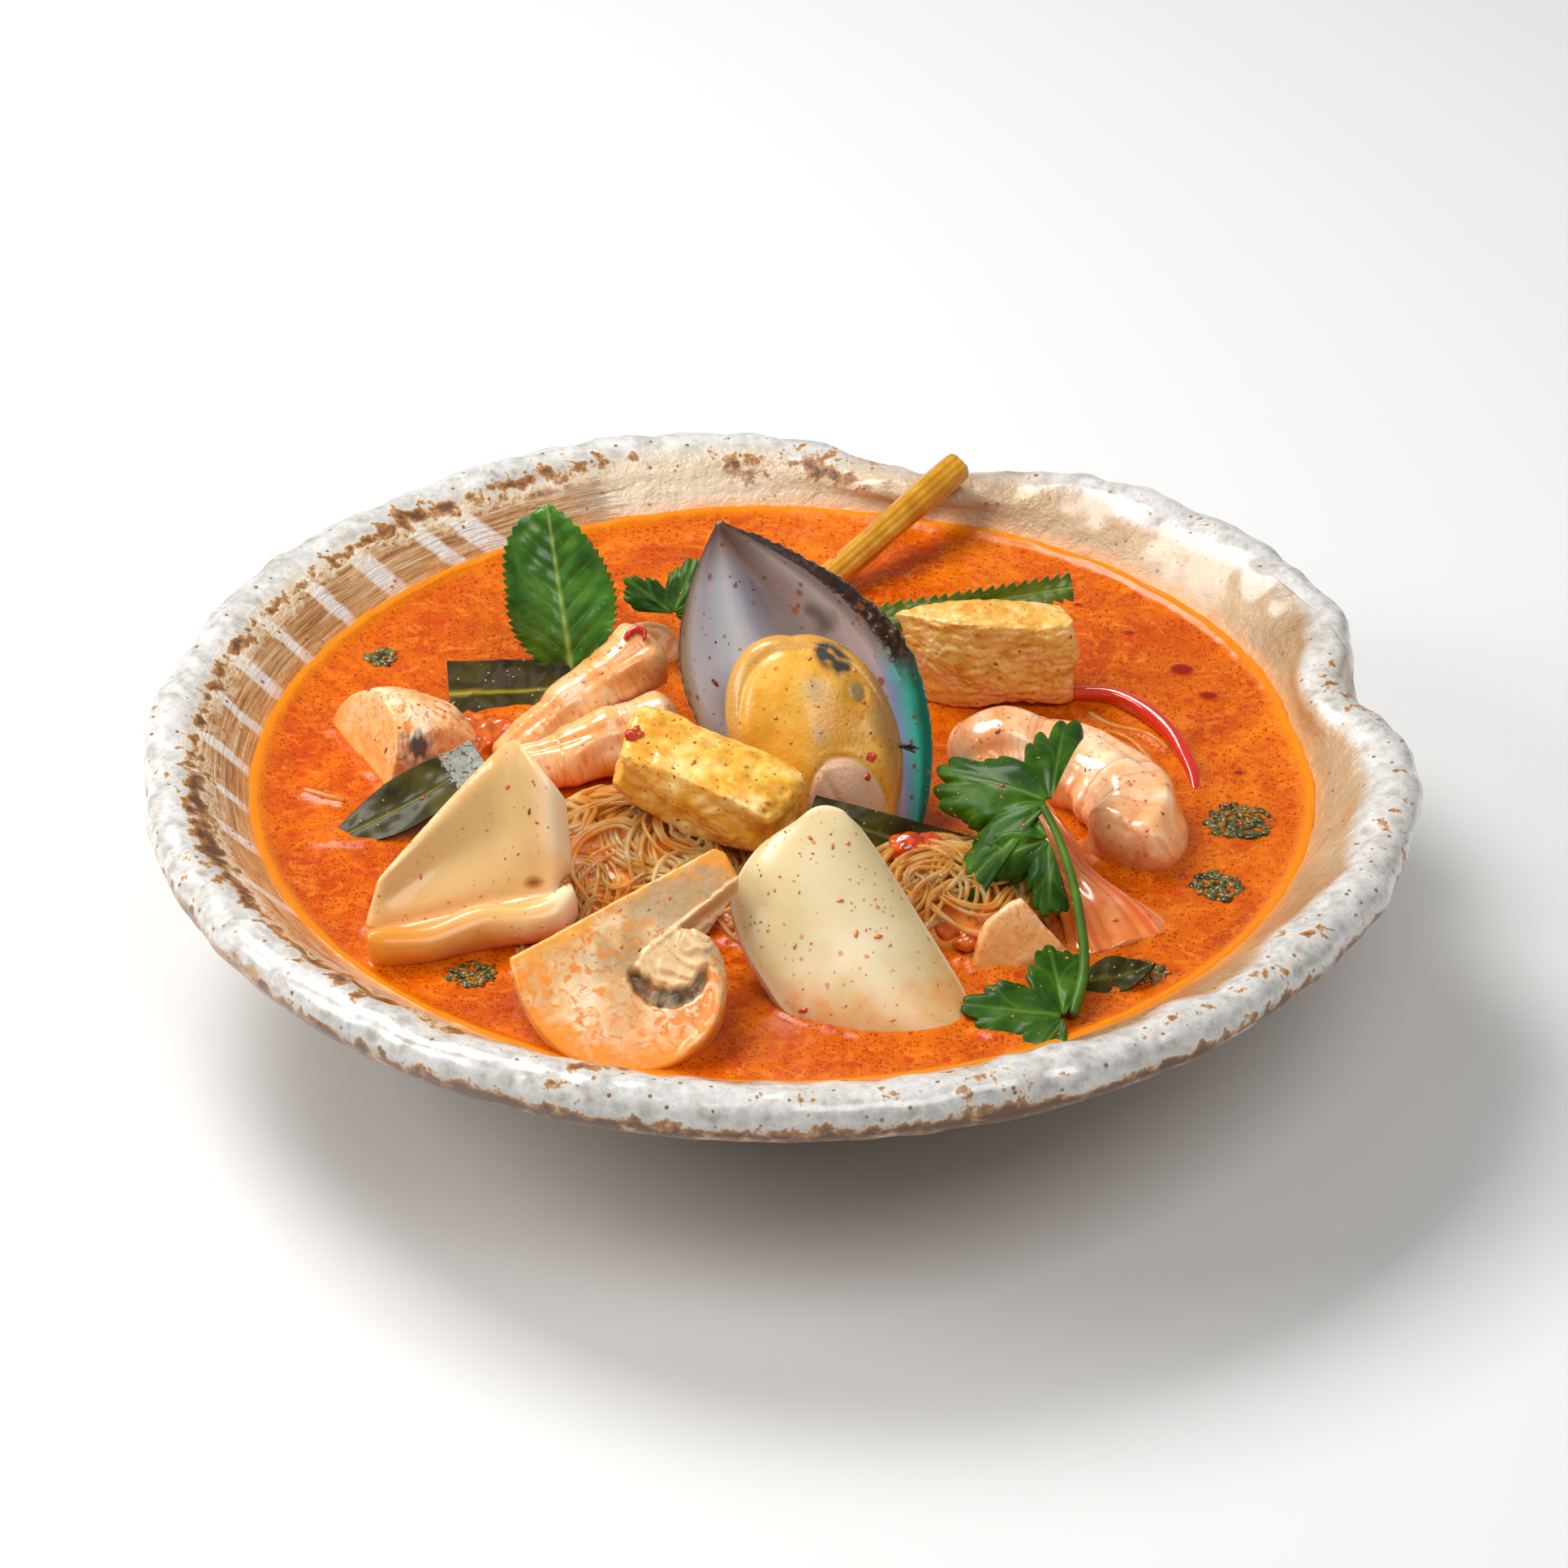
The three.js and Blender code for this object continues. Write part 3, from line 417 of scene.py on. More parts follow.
shell_bm = bmesh.new()
bmesh.ops.create_grid(shell_bm, x_segments=120, y_segments=170, size=1)
bmesh.ops.translate(shell_bm, vec=(0, 0, 1), verts=shell_bm.verts)
thicken(shell_bm, 2)
record(shell_bm, "across", lambda p: 0.5 + p.x / 2)
record(shell_bm, "down", lambda p: 0.5 - p.y / 2)
record(shell_bm, "outer", lambda p: 0.5 - p.z / 2)
for v in shell_bm.verts:
    across, share, outer = v.co.x, 0.5 - v.co.y / 2, 0.5 - v.co.z / 2
    half = shell_half(share, across > 0)
    cup = SHELL_DEPTH * sin(pi * min(max(share, 0.01), 0.99) ** 0.72) ** 0.8 * (1 - abs(across) ** 2.4)
    wall = 1.7 * (1 - 0.4 * across**4) * outer
    at = Vector((across * half, -share * SHELL_LENGTH, -cup - wall + 2.5 * sin(pi * share) * across))
    # The lip of the upper right is black and scaly, and so is all of the outside.
    lip = smooth(across, 0.84, 0.93) * (1 - smooth(share, 0.42, 0.56)) + 0.25 * smooth(-across, 0.93, 0.98)
    rough = max(lip, 0.5 * outer) * smooth(share, 0.0, 0.05)
    scale = (
        noise.noise(Vector((at.x / 1.5, at.y / 0.9, at.z / 1.5)))
        + 0.6 * sin(130 * share + 8 * noise.noise(at / 4))
    )
    at += Vector((0.35 * scale, 0.2 * scale, 0.1 + 0.4 * scale)) * rough
    crest = mark(across - 0.79 - 0.1 * share, 0.05) * smooth(share, 0.05, 0.2) * (1 - outer)
    at.z += 0.35 * crest + 0.1 * noise.noise(Vector((across * 4, share * 3, 0))) * (1 - outer)
    v.co = at
lay(shell_bm, (-12.5, 17, 90), (52, 4, 22))

# Mother-of-pearl: silver grey in lengthwise bands of rose, blue and lilac, browner at the hinge, with the
# dark scar of the muscle, and the bark-like black skin of the shell on its outside and round its lip. The
# bands
# also hold painted light: a near-white painted highlight band, painted shade in the deep hollow next to it,
# and a facet to the right of the hollow that is painted lighter as if lit.
pearl, tree, shader, place = new_material("mother_of_pearl_shell")
across = add(tree, "Attribute", out="Fac", attribute_name="across")
down = add(tree, "Attribute", out="Fac", attribute_name="down")
outer = add(tree, "Attribute", out="Fac", attribute_name="outer")
length_ways = add(tree, "Math", {0: down, 1: 2.2}, operation="MULTIPLY")
wide_ways = add(tree, "Math", {0: across, 1: 9.0}, operation="MULTIPLY")
shell_place = add(tree, "CombineXYZ", {"X": wide_ways, "Y": length_ways})
drift = add(tree, "TexNoise", {"Vector": shell_place, "Scale": 1.0, "Detail": 4.0, "Distortion": 0.5})
wander = add(tree, "Math", {0: drift, 1: 0.12, 2: across}, operation="MULTIPLY_ADD")
band = add(tree, "Math", {0: wander, 1: 0.06}, operation="SUBTRACT")
# Both ramps mix the nacre's own bands with painted light: the near-white stops are a painted highlight, and
# the darker grey stops after them are painted shade in the hollow.
upper_bands_and_painted_light = add(
    tree, "ValToRGB", {"Fac": band},
    stops=[
        (0.0, "#4a3826"), (0.02, "#c79a60"), (0.05, "#d5bca6"), (0.09, "#ece6ee"), (0.2, "#e0e0ec"),
        (0.3, "#e4ecf8"), (0.39, "#f5f9ff"), (0.46, "#dbe3f3"), (0.53, "#b4b4c3"), (0.62, "#9c939a"),
        (0.78, "#afa5a4"), (0.86, "#d3cac6"), (0.92, "#a2968f")
    ]
)
lower_bands_and_painted_light = add(
    tree, "ValToRGB", {"Fac": band},
    stops=[
        (0.0, "#9a7038"), (0.03, "#dbb87c"), (0.07, "#cfbfb0"), (0.12, "#e4e0ea"), (0.22, "#d6dcec"),
        (0.4, "#c6cad9"), (0.6, "#9d9aa5"), (0.8, "#b3abb8"), (0.86, "#d9c2d2"), (0.89, "#a6bde6"),
        (0.925, "#74d2cf"), (0.955, "#43c4a8"), (0.985, "#17705a")
    ]
)
lower = add(
    tree, "MapRange", {"Value": down, "From Min": 0.4, "From Max": 0.52}, interpolation_type="SMOOTHSTEP"
)
nacre_and_painted_light = add(tree, "Mix", {"Factor": lower, 6: upper_bands_and_painted_light, 7: lower_bands_and_painted_light}, out=2, data_type="RGBA")
sheen_map = add(tree, "TexNoise", {"Vector": shell_place, "Scale": 0.8, "Detail": 2.0, "Distortion": 1.2})
sheen = add(
    tree, "ValToRGB", {"Fac": sheen_map},
    stops=[(0.36, "#8fb9c4"), (0.46, "#8a8a8a"), (0.54, "#8a8a8a"), (0.64, "#c796a8")]
)
shining = add(tree, "Mix", {"Factor": 0.3, 6: nacre_and_painted_light, 7: sheen}, out=2, data_type="RGBA", blend_type="OVERLAY")
hinge = add(tree, "MapRange", {"Value": down, "From Min": 0.13, "From Max": 0.02, "To Max": 0.8})
hinged = add(tree, "Mix", {"Factor": hinge, 6: shining, 7: linear("#7a5030")}, out=2, data_type="RGBA")
bark = add(tree, "TexNoise", {"Vector": place, "Scale": 1000 / 1.6, "Detail": 3.0})
bark_edge = add(tree, "Math", {0: bark, 1: 0.05, 2: across}, operation="MULTIPLY_ADD")
on_lip = add(tree, "MapRange", {"Value": bark_edge, "From Min": 0.945, "From Max": 0.96})
upper = add(tree, "MapRange", {"Value": down, "From Min": 0.55, "From Max": 0.45})
upper_lip = add(tree, "Math", {0: on_lip, 1: upper}, operation="MULTIPLY")
back = add(tree, "MapRange", {"Value": outer, "From Min": 0.25, "From Max": 0.6})
barked = add(tree, "Math", {0: upper_lip, 1: back}, operation="MAXIMUM")
rind = add(
    tree, "ValToRGB", {"Fac": bark},
    stops=[(0.35, "#0b0908"), (0.52, "#211812"), (0.64, "#5a4a40"), (0.72, "#b3a08c")]
)
shelled = add(tree, "Mix", {"Factor": barked, 6: hinged, 7: rind}, out=2, data_type="RGBA")
muscle = add(tree, "Attribute", out="Fac", attribute_name="muscle")
scarred = add(tree, "Mix", {"Factor": muscle, 6: shelled, 7: linear("#47504c")}, out=2, data_type="RGBA")
splashed = specked(tree, place, scarred, 2.4, 0.4, "#8e5f36")
tree.links.new(specked(tree, place, splashed, 4.1, 0.2, "#a85a20"), shader.inputs["Base Color"])
gloss = add(tree, "MapRange", {"Value": barked, "To Min": 0.22, "To Max": 0.35})
tree.links.new(gloss, shader.inputs["Roughness"])
scaly = add(tree, "Math", {0: bark, 1: barked}, operation="MULTIPLY")
growth_bump = add(tree, "Bump", {"Height": scaly, "Strength": 0.8, "Distance": 0.0006})
tree.links.new(growth_bump, shader.inputs["Normal"])
shader.inputs["IOR"].default_value = 1.6
shader.inputs["Coat Weight"].default_value = 0.7
shader.inputs["Coat Roughness"].default_value = 0.07
muscle_layer = shell_bm.verts.layers.float.new("muscle")
across_layer, down_layer, outer_layer = (
    shell_bm.verts.layers.float[name] for name in ("across", "down", "outer")
)
for v in shell_bm.verts:
    off = hypot((v[across_layer] - 0.8) / 0.055, (v[down_layer] - 0.3) / 0.055)
    off += 0.6 * noise.noise(v.co / 3)
    v[muscle_layer] = 0.8 * (1 - smooth(off, 0.3, 1.2)) * (v[outer_layer] < 0.5)
finish(shell_bm, "mussel_shell_half", ["mussel_shell"], [pearl])


# The mussel's body: a plump egg-yolk yellow sac in a clear skin, with grey gut showing through at its top, a
# paler foot low on the right, and the edge of its mantle, brown and see-through, down the right side.
def wet_food(
    name, colours, patch_mm, wetness=0.6, gloss=0.22, broth=0.0, glow=0.15, grain_mm=0.9, grain=0.25
):
    """The look of a cooked, wet piece of food: its colours in soft patches, stained by broth near the soup
    and freckled with small specks of spice."""
    made, tree, shader, place = new_material(name)
    patch = add(
        tree, "TexNoise", {"Vector": place, "Scale": 1000 / patch_mm, "Detail": 3.0, "Distortion": 0.4}
    )
    low, high = 0.32, 0.68
    steps = [(low + (high - low) * i / (len(colours) - 1), colour) for i, colour in enumerate(colours)]
    colour = add(tree, "ValToRGB", {"Fac": patch}, stops=steps)
    height = add(tree, "SeparateXYZ", {"Vector": place}, out="Z")
    uneven = add(tree, "TexNoise", {"Vector": place, "Scale": 1000 / 4, "Detail": 4.0})
    reach = add(tree, "Math", {0: uneven, 1: -0.014, 2: height}, operation="MULTIPLY_ADD")
    low_down = add(
        tree, "MapRange", {"Value": reach, "From Min": 0.044, "From Max": 0.033, "To Max": 0.85},
        interpolation_type="SMOOTHSTEP"
    )
    splash = add(tree, "MapRange", {"Value": uneven, "From Min": 0.52, "From Max": 0.72, "To Max": broth})
    stained = add(tree, "Math", {0: low_down, 1: splash}, operation="MAXIMUM")
    mixed = add(tree, "Mix", {"Factor": stained, 6: colour, 7: linear("#e67f1c")}, out=2, data_type="RGBA")
    mixed = specked(tree, place, mixed, 1.5, 0.22, "#c4681c", 0.6)
    mixed = specked(tree, place, mixed, 2.3, 0.1, "#d2660e", 0.7)
    tree.links.new(mixed, shader.inputs["Base Color"])
    fine = add(tree, "TexNoise", {"Vector": place, "Scale": 1000 / grain_mm, "Detail": 2.0})
    bump = add(tree, "Bump", {"Height": fine, "Strength": grain, "Distance": 0.0003})
    tree.links.new(bump, shader.inputs["Normal"])
    shader.inputs["Roughness"].default_value = gloss
    shader.inputs["IOR"].default_value = 1.4
    shader.inputs["Subsurface Weight"].default_value = glow
    shader.inputs["Subsurface Radius"].default_value = (0.004, 0.0025, 0.0015)
    shader.inputs["Subsurface Scale"].default_value = 1.0
    shader.inputs["Coat Weight"].default_value = wetness
    shader.inputs["Coat Roughness"].default_value = 0.08
    return made, tree, shader, place, mixed


def blend_by(tree, shader, colour, layers):
    """Lays further colours over a food's own, each as the number recorded under its name goes from low to
    high."""
    for name, over, low, high in layers:
        share = add(tree, "Attribute", out="Fac", attribute_name=name)
        factor = add(tree, "MapRange", {"Value": share, "From Min": low, "From Max": high})
        colour = add(tree, "Mix", {"Factor": factor, 6: colour, 7: linear(over)}, out=2, data_type="RGBA")
    tree.links.new(colour, shader.inputs["Base Color"])


def spot(p, x, y, size):
    """1 at a place on a piece's face, falling softly away from it."""
    return mark(hypot(p.x - x, p.y - y), size)


def foot_edge(p):
    """How far inside the round outline of the mussel's foot a place is, in parts of the body's half width."""
    return 0.49 - hypot(p.x - 0.12, p.y + 0.6)


body_bm = bmesh.new()
bmesh.ops.create_uvsphere(body_bm, u_segments=150, v_segments=100, radius=1)
record(body_bm, "mantle", lambda p: smooth(p.x, 0.6, 0.85) * smooth(0.75 - p.y, 0, 0.4))
record(body_bm, "skin", lambda p: smooth(hypot(p.x, p.y), 0.84, 0.9) * (0.7 - 0.3 * p.x))
record(
    body_bm, "gut",
    lambda p: (p.z > 0) * (spot(p, 0.3, 0.78, 0.13) + spot(p, 0.5, 0.68, 0.15))
    * (1 + 1.2 * noise.noise(p * 9))
)
record(
    body_bm, "grey",
    lambda p: (p.z > 0) * (spot(p, 0.08, 0.5, 0.14) + spot(p, 0.74, 0.1, 0.15) + spot(p, 0.0, 0.1, 0.1))
)
record(body_bm, "window", lambda p: (p.z > 0) * (1 - smooth(hypot(p.x - 0.58, p.y - 0.4), 0.07, 0.12)))
record(body_bm, "foot", lambda p: (p.z > 0) * smooth(foot_edge(p), -0.01, 0.03))
for v in body_bm.verts:
    p = v.co.copy()
    front = smooth(p.z, 0, 0.35)
    squared = 1 + (0.32 if p.x < 0 and p.y > 0 else 0) * abs(p.x * p.y)
    z = 9 * p.z * (1 - 0.1 * mark(p.x - 0.55, 0.22) * front)
    away = hypot(p.x, p.y)
    z -= front * (0.4 * mark(away - 0.87, 0.03) + 0.45 * mark(foot_edge(p), 0.02))
    z += front * (0.5 * smooth(foot_edge(p), 0, 0.08) + 0.9 * noise.noise(p * 1.9 + Vector((3, 1, 0))))
    crease = mark(p.x + 0.12 + 0.35 * (p.y + 0.1), 0.05) * smooth(-p.y, 0.0, 0.3)
    ring = mark(hypot(p.x - 0.58, p.y - 0.4) - 0.11, 0.025)
    z -= front * (0.6 * crease + 0.35 * ring)
    v.co = Vector((p.x * 15.5 * squared + 1.2, p.y * 22 * squared, z))
lay(body_bm, (5.5, -12.5, 57), (55, 4, 14))
flesh, tree, shader, _, colour = wet_food(
    "cooked_mussel_flesh", ["#d6901c", "#e6a634", "#f0bc54"], 9, wetness=0.35, gloss=0.3, broth=0.2, grain=0.5
)
blend_by(
    tree, shader, colour,
    [
        ("skin", "#cf9a48", 0.0, 1.0), ("foot", "#dbae8a", 0.0, 1.0), ("mantle", "#a9763c", 0.1, 1.1),
        ("grey", "#a08a55", 0.1, 1.6), ("window", "#9b7d4c", 0.0, 1.0), ("gut", "#46423c", 0.25, 1.0)
    ]
)
finish(body_bm, "mussel_body", ["mussel_meat"], [flesh])

# A thread of the mussel's beard, dark and wet, that hangs on the right lip of the shell.
beard_bm = bmesh.new()
for k in range(5):
    lean = 0.8 * sin(2.1 * k)
    thread_points = [
        (17.5 + lean, -11 + k, 57.5 + 0.5 * k), (21, -13, 59.5 - 0.6 * k), (24.5 - lean, -14.5, 58 + 0.4 * k)
    ]
    thread = [Vector(p) for p in thread_points]
    for i in range(14):
        t = i / 13
        at = thread[0] * (1 - t) ** 2 + thread[1] * 2 * t * (1 - t) + thread[2] * t * t
        thick = 0.55 - 0.3 * abs(t - 0.4)
        for v in bmesh.ops.create_icosphere(beard_bm, subdivisions=1, radius=thick)["verts"]:
            v.co = v.co + at
beard, *_ = wet_food(
    "mussel_beard_thread", ["#1c1509", "#2f240f", "#4a3a18"], 2, wetness=0.9, gloss=0.2, glow=0.0
)
finish(beard_bm, "mussel_beard", [], [beard])


# Tofu: two blocks cut by hand and fried, egg yellow. The front one's skin is puffed into soft curds, torn
# into strings on top; the back one is finely fibrous. Both are freckled with chilli, and their creases are
# painted a deeper gold as painted shade.
def relax(bm, times, factor=0.5):
    """Evens out a shape's skin a few times over."""
    for _ in range(times):
        bmesh.ops.smooth_vert(
            bm, verts=bm.verts, factor=factor, use_axis_x=True, use_axis_y=True, use_axis_z=True
        )


def tofu_block(name, node, size, at, turn, seed, skin, splay=0, curd=(4.2, 0.5), fibre=0.14):
    """A block with rounded corners whose skin is puffed into curds. splay slants its left side."""
    bm = cube(64)
    crease_shade_layer = bm.verts.layers.float.new("crease")
    for v in bm.verts:
        n = v.co.copy()
        corner = max(0, n.x**4 + n.y**4 + n.z**4 - 1)
        lump = (
            0.035 * sin(3.1 * n.x + seed) * cos(2.6 * n.y + 2 * seed) + 0.025 * sin(5 * n.z + 3 * n.x + seed)
        )
        p = Vector((n.x * size[0], n.y * size[1], n.z * size[2])) / 2 * (1 - 0.085 * corner + 1.5 * lump)
        p.x -= splay * (1 - n.x) * (1 + n.y) / 4
        bent = p + 1.2 * noise.noise_vector(p / 4)
        puffed = abs(noise.noise(bent / curd[0] + Vector((seed, 0, 0)))) * 1.6
        small = abs(noise.noise(bent / (curd[0] * 0.45) + Vector((0, seed, 0))))
        strings = noise.noise(Vector((bent.x / 4, bent.y / 0.9, bent.z / 0.9 + seed)))
        uneven = 0.6 + 0.8 * noise.noise(p / 9 + Vector((seed, 3, 0)))
        # The crease number marks where painted shade darkens the skin in its creases.
        v[crease_shade_layer] = (mark(puffed, 0.14) * 0.7 + mark(small, 0.07) * 0.35) * uneven
        v.co = p + n.normalized() * (curd[1] * (puffed - 0.45) + 0.3 * curd[1] * small + fibre * strings)
    relax(bm, 1, 0.4)
    lay(bm, at, turn)
    finish(bm, name, [node], [skin])


curded_tofu, tree, shader, _, colour = wet_food(
    "fried_tofu_curds", ["#db9526", "#f1b844", "#fbdb86"], 5, wetness=0.5, gloss=0.32, broth=0.5,
    grain_mm=1.1, grain=0.5
)
# Painted shade: the creases are darkened to a deeper gold.
blend_by(tree, shader, colour, [("crease", "#c07a14", 0.2, 1.3)])
tofu_block(
    "tofu_block_front", "tofu_front", (33, 16, 13.5), (-14.5, -29, 60.5), (14, 12, -22), 1, curded_tofu
)
fibrous_tofu, tree, shader, _, colour = wet_food(
    "fried_tofu_fibres", ["#dc9a3a", "#efb858", "#fad894"], 4, wetness=0.4, gloss=0.36, broth=0.35,
    grain_mm=0.8, grain=0.7
)
# Painted shade: the creases are darkened to a deeper gold.
blend_by(tree, shader, colour, [("crease", "#a9691a", 0.2, 1.4)])
tofu_block(
    "tofu_block_back", "tofu_back", (23, 13, 18.5), (45.5, 32, 51.5), (-4, 0, 4), 4, fibrous_tofu, splay=18,
    curd=(2.2, 0.4), fibre=0.3
)

# Squid: thick pieces of the tube, smooth and wet, ivory where the flesh is deep and cream at the cut edges.
# The front one is a curled sheet; the left one is the pointed end slit open like a scoop, with a thick rolled
# edge.
SQUID_WALL = 5
SHEET_FOOT = -24.5
SHEET_TOP = 28
# The sheet's cut edges, each place as its height and how far left and right the sheet reaches there.
SHEET_SIDES = [
    (SHEET_FOOT, 7, 16), (-21, 1, 19.5), (-17, -6, 19.8), (-10, -14, 19.2), (4, -19.2, 14.3), (14, -20, 10.8)
]
SHEET_SIDES += [(21, -15, 7.6), (25, -9, 5.5), (SHEET_TOP, -2, 3.5)]


def sheet_sides(y):
    """The sheet's left and right cut edges at a height, from measured places, rounded by averaging."""
    left = right = 0
    for step in range(-3, 4):
        level = min(max(y + step, SHEET_FOOT), SHEET_TOP)
        above = next(i for i in range(1, len(SHEET_SIDES)) if SHEET_SIDES[i][0] >= level)
        (low, low_left, low_right), (high, high_left, high_right) = SHEET_SIDES[above - 1], SHEET_SIDES[above]
        share = (level - low) / (high - low)
        left += (low_left + (high_left - low_left) * share) / 7
        right += (low_right + (high_right - low_right) * share) / 7
    return left, right


sheet_bm = cube(56)
record(sheet_bm, "rim", lambda p: max(abs(p.x), abs(p.y)))
record(sheet_bm, "foot", lambda p: smooth(-p.y, 0.1, 1))
for v in sheet_bm.verts:
    across, along = v.co.x, v.co.y
    y = SHEET_FOOT + (SHEET_TOP - SHEET_FOOT) * (along + 1) / 2
    left, right = sheet_sides(y)
    half = (right - left) / 2
    edge = 1 - 0.55 * max(abs(across), abs(along)) ** 5
    lift = -((across * half) ** 2) / 52 - 2.2 * along * along + 1.2 * along
    y -= 1.6 * across * across * smooth(along, 0.8, 1)
    v.co = Vector(((left + right) / 2 + across * half, y, lift + v.co.z / 2 * SQUID_WALL * edge))
    v.co.z += 0.3 * noise.noise(v.co / 14)
relax(sheet_bm, 5)
lay(sheet_bm, (12.5, -69, 52), (30, 6, 12))
ivory_squid, tree, shader, _, colour = wet_food(
    "ivory_squid_flesh", ["#ccb47c", "#dcc898", "#e9d8b4"], 30, wetness=0.35, gloss=0.34, broth=0.1, glow=0.3,
    grain=0.06
)
blend_by(tree, shader, colour, [("foot", "#d9b678", 0.0, 1.3), ("rim", "#ecd9b0", 0.93, 1.0)])
shader.inputs["Coat Roughness"].default_value = 0.2
finish(sheet_bm, "squid_curled_sheet", ["squid_sheet"], [ivory_squid])

scoop_bm = cube(56)
record(
    scoop_bm, "hollow",
    lambda p: smooth(p.z, 0, 1) * smooth(p.y, -0.35, 0.0) * smooth(0.95 - p.y, 0, 0.2)
    * smooth(0.9 - p.x, 0, 0.3)
)
record(scoop_bm, "burn", lambda p: (p.z > 0) * mark(hypot((p.x - 0.66) * 1.6, (p.y + 0.02) * 3), 0.16))
record(scoop_bm, "rim", lambda p: smooth(p.x, 0.72, 0.86))
record(scoop_bm, "foot", lambda p: smooth(-p.x, -0.7, 0.9) * smooth(-p.y, -0.5, 0.7))
for v in scoop_bm.verts:
    along, round_ = v.co.x / 2 + 0.5, v.co.y / 2 + 0.5
    flap = 10.5 + 25.6 * min(along, 0.82) - 75 * max(0, along - 0.82)
    to_edge = min(1, min(1 - abs(v.co.x), 1 - abs(v.co.y)) / 0.22)
    blunt = max(0.12, math.sqrt(1 - (1 - to_edge) ** 2))
    inside = SQUID_WALL * (1 - 0.3 * round_) * (0.5 + v.co.z / 2 * blunt)
    turn = -2.1 + 2.45 * min(1, round_ / 0.45)
    radius = 5.6 * (1 - 0.35 * along) + 1.2 - inside + SQUID_WALL * 0.5
    radius += (1.2 + 2.6 * along * along) * (0.5 - v.co.z / 2) * smooth(0.44 - round_, 0, 0.2)
    climb = max(0, round_ - 0.45) / 0.55
    close = 1 - 0.18 * smooth(along, 0.88, 1) * (1 - climb)
    curl = smooth(along, 0.66, 1) * smooth(climb, 0, 0.4)
    y = sin(turn) * radius * 1.15 + climb * flap * 0.52 - 5.5 * curl
    z = -cos(turn) * radius * 0.8 + climb * flap * 0.82 + 3.5 * curl
    # The slit piece is hollow like a spoon, with a thick rolled edge on its right that runs on into the front
    # lip.
    hollow = 3.4 * sin(pi * along) * smooth(climb, 0.05, 0.5)
    rolled = 3.4 * mark(along - 0.9, 0.09) * smooth(v.co.z, -1, 1) * smooth(climb, -0.2, 0.1)
    y += 0.82 * (hollow - rolled)
    z -= 0.52 * (hollow - rolled)
    # The front lip swells in three soft lumps where it was cut.
    swelling = 0.7 * sin(13 * along + 1) * smooth(0.3 - round_, 0, 0.3)
    x = along * 39 - 19.5 + climb * (5 * (1 - along) + 2 * along)
    v.co = Vector((x, y * close - inside * 0.25 * climb + swelling, z * close + 0.5 * swelling))
relax(scoop_bm, 6)
lay(scoop_bm, (-58.5, -49, 47.5), (6, -4, 14))
cream_squid, tree, shader, _, colour = wet_food(
    "cream_squid_flesh", ["#dfb26c", "#e9c48c", "#f1d6ac"], 16, wetness=0.45, gloss=0.28, broth=0.16,
    glow=0.3, grain=0.08
)
blend_by(
    tree, shader, colour,
    [
        ("hollow", "#d8b87c", 0.1, 1.2), ("foot", "#dc8c22", 0.0, 1.0), ("rim", "#f7dfb6", 0.0, 1.1),
        ("burn", "#8c5018", 0.25, 0.9)
    ]
)
finish(scoop_bm, "squid_slit_end", ["squid_scoop"], [cream_squid])


# Prawns: peeled and cooked, two bent bodies on the left laid side by side and a larger one on the right, each
# a row of rings that lap a little over each other, peach with coral at the joints. One tail has slid down on
# the right.
RINGS = 3


def curve_points(points, count):
    """Points evenly along a smooth curve through the given ones."""
    at = [Vector(p) for p in points]
    fine = []
    for i in range(len(at) - 1):
        a, b, c, d = (at[min(max(k, 0), len(at) - 1)] for k in (i - 1, i, i + 1, i + 2))
        for step in range(24):
            t = step / 24
            fine.append(
                0.5 * (
                    2 * b + (c - a) * t + (2 * a - 5 * b + 4 * c - d) * t * t + (3 * b - a - 3 * c + d) * t**3
                )
            )
    fine.append(at[-1])
    lengths = [0]
    for a, b in zip(fine, fine[1:]):
        lengths.append(lengths[-1] + (b - a).length)
    even, k = [], 0
    for i in range(count):
        want = lengths[-1] * i / (count - 1)
        while k < len(fine) - 2 and lengths[k + 1] < want:
            k += 1
        t = (want - lengths[k]) / max(lengths[k + 1] - lengths[k], 1e-6)
        even.append(fine[k].lerp(fine[k + 1], min(t, 1)))
    return even


def tube(points, radius, around, along, up=(0, 0, 1), shape=None):
    """A closed tube along a curve. radius is a function of the share of its length, and shape may move each
    point of its skin by the share along, the angle round from the top, and the way out."""
    bm = bmesh.new()
    bmesh.ops.create_grid(bm, x_segments=around, y_segments=along, size=1)
    along_layer = bm.verts.layers.float.new("along")
    round_layer = bm.verts.layers.float.new("round")
    middles = curve_points(points, along + 1)
    for v in bm.verts:
        share = (v.co.y + 1) / 2
        angle = (v.co.x + 1) * pi
        i = round(share * along)
        forward = (middles[min(i + 1, along)] - middles[max(i - 1, 0)]).normalized()
        side = forward.cross(Vector(up)).normalized()
        top = side.cross(forward).normalized()
        out = top * cos(angle) + side * sin(angle)
        r = 0 if i in (0, along) else radius(share)
        v[along_layer] = share
        v[round_layer] = cos(angle)
        v.co = middles[i] + out * r
        if shape and r:
            v.co += shape(share, angle, out, top, side, r)
    bmesh.ops.remove_doubles(bm, verts=bm.verts, dist=0.0005)
    bmesh.ops.recalc_face_normals(bm, faces=bm.faces)
    return bm


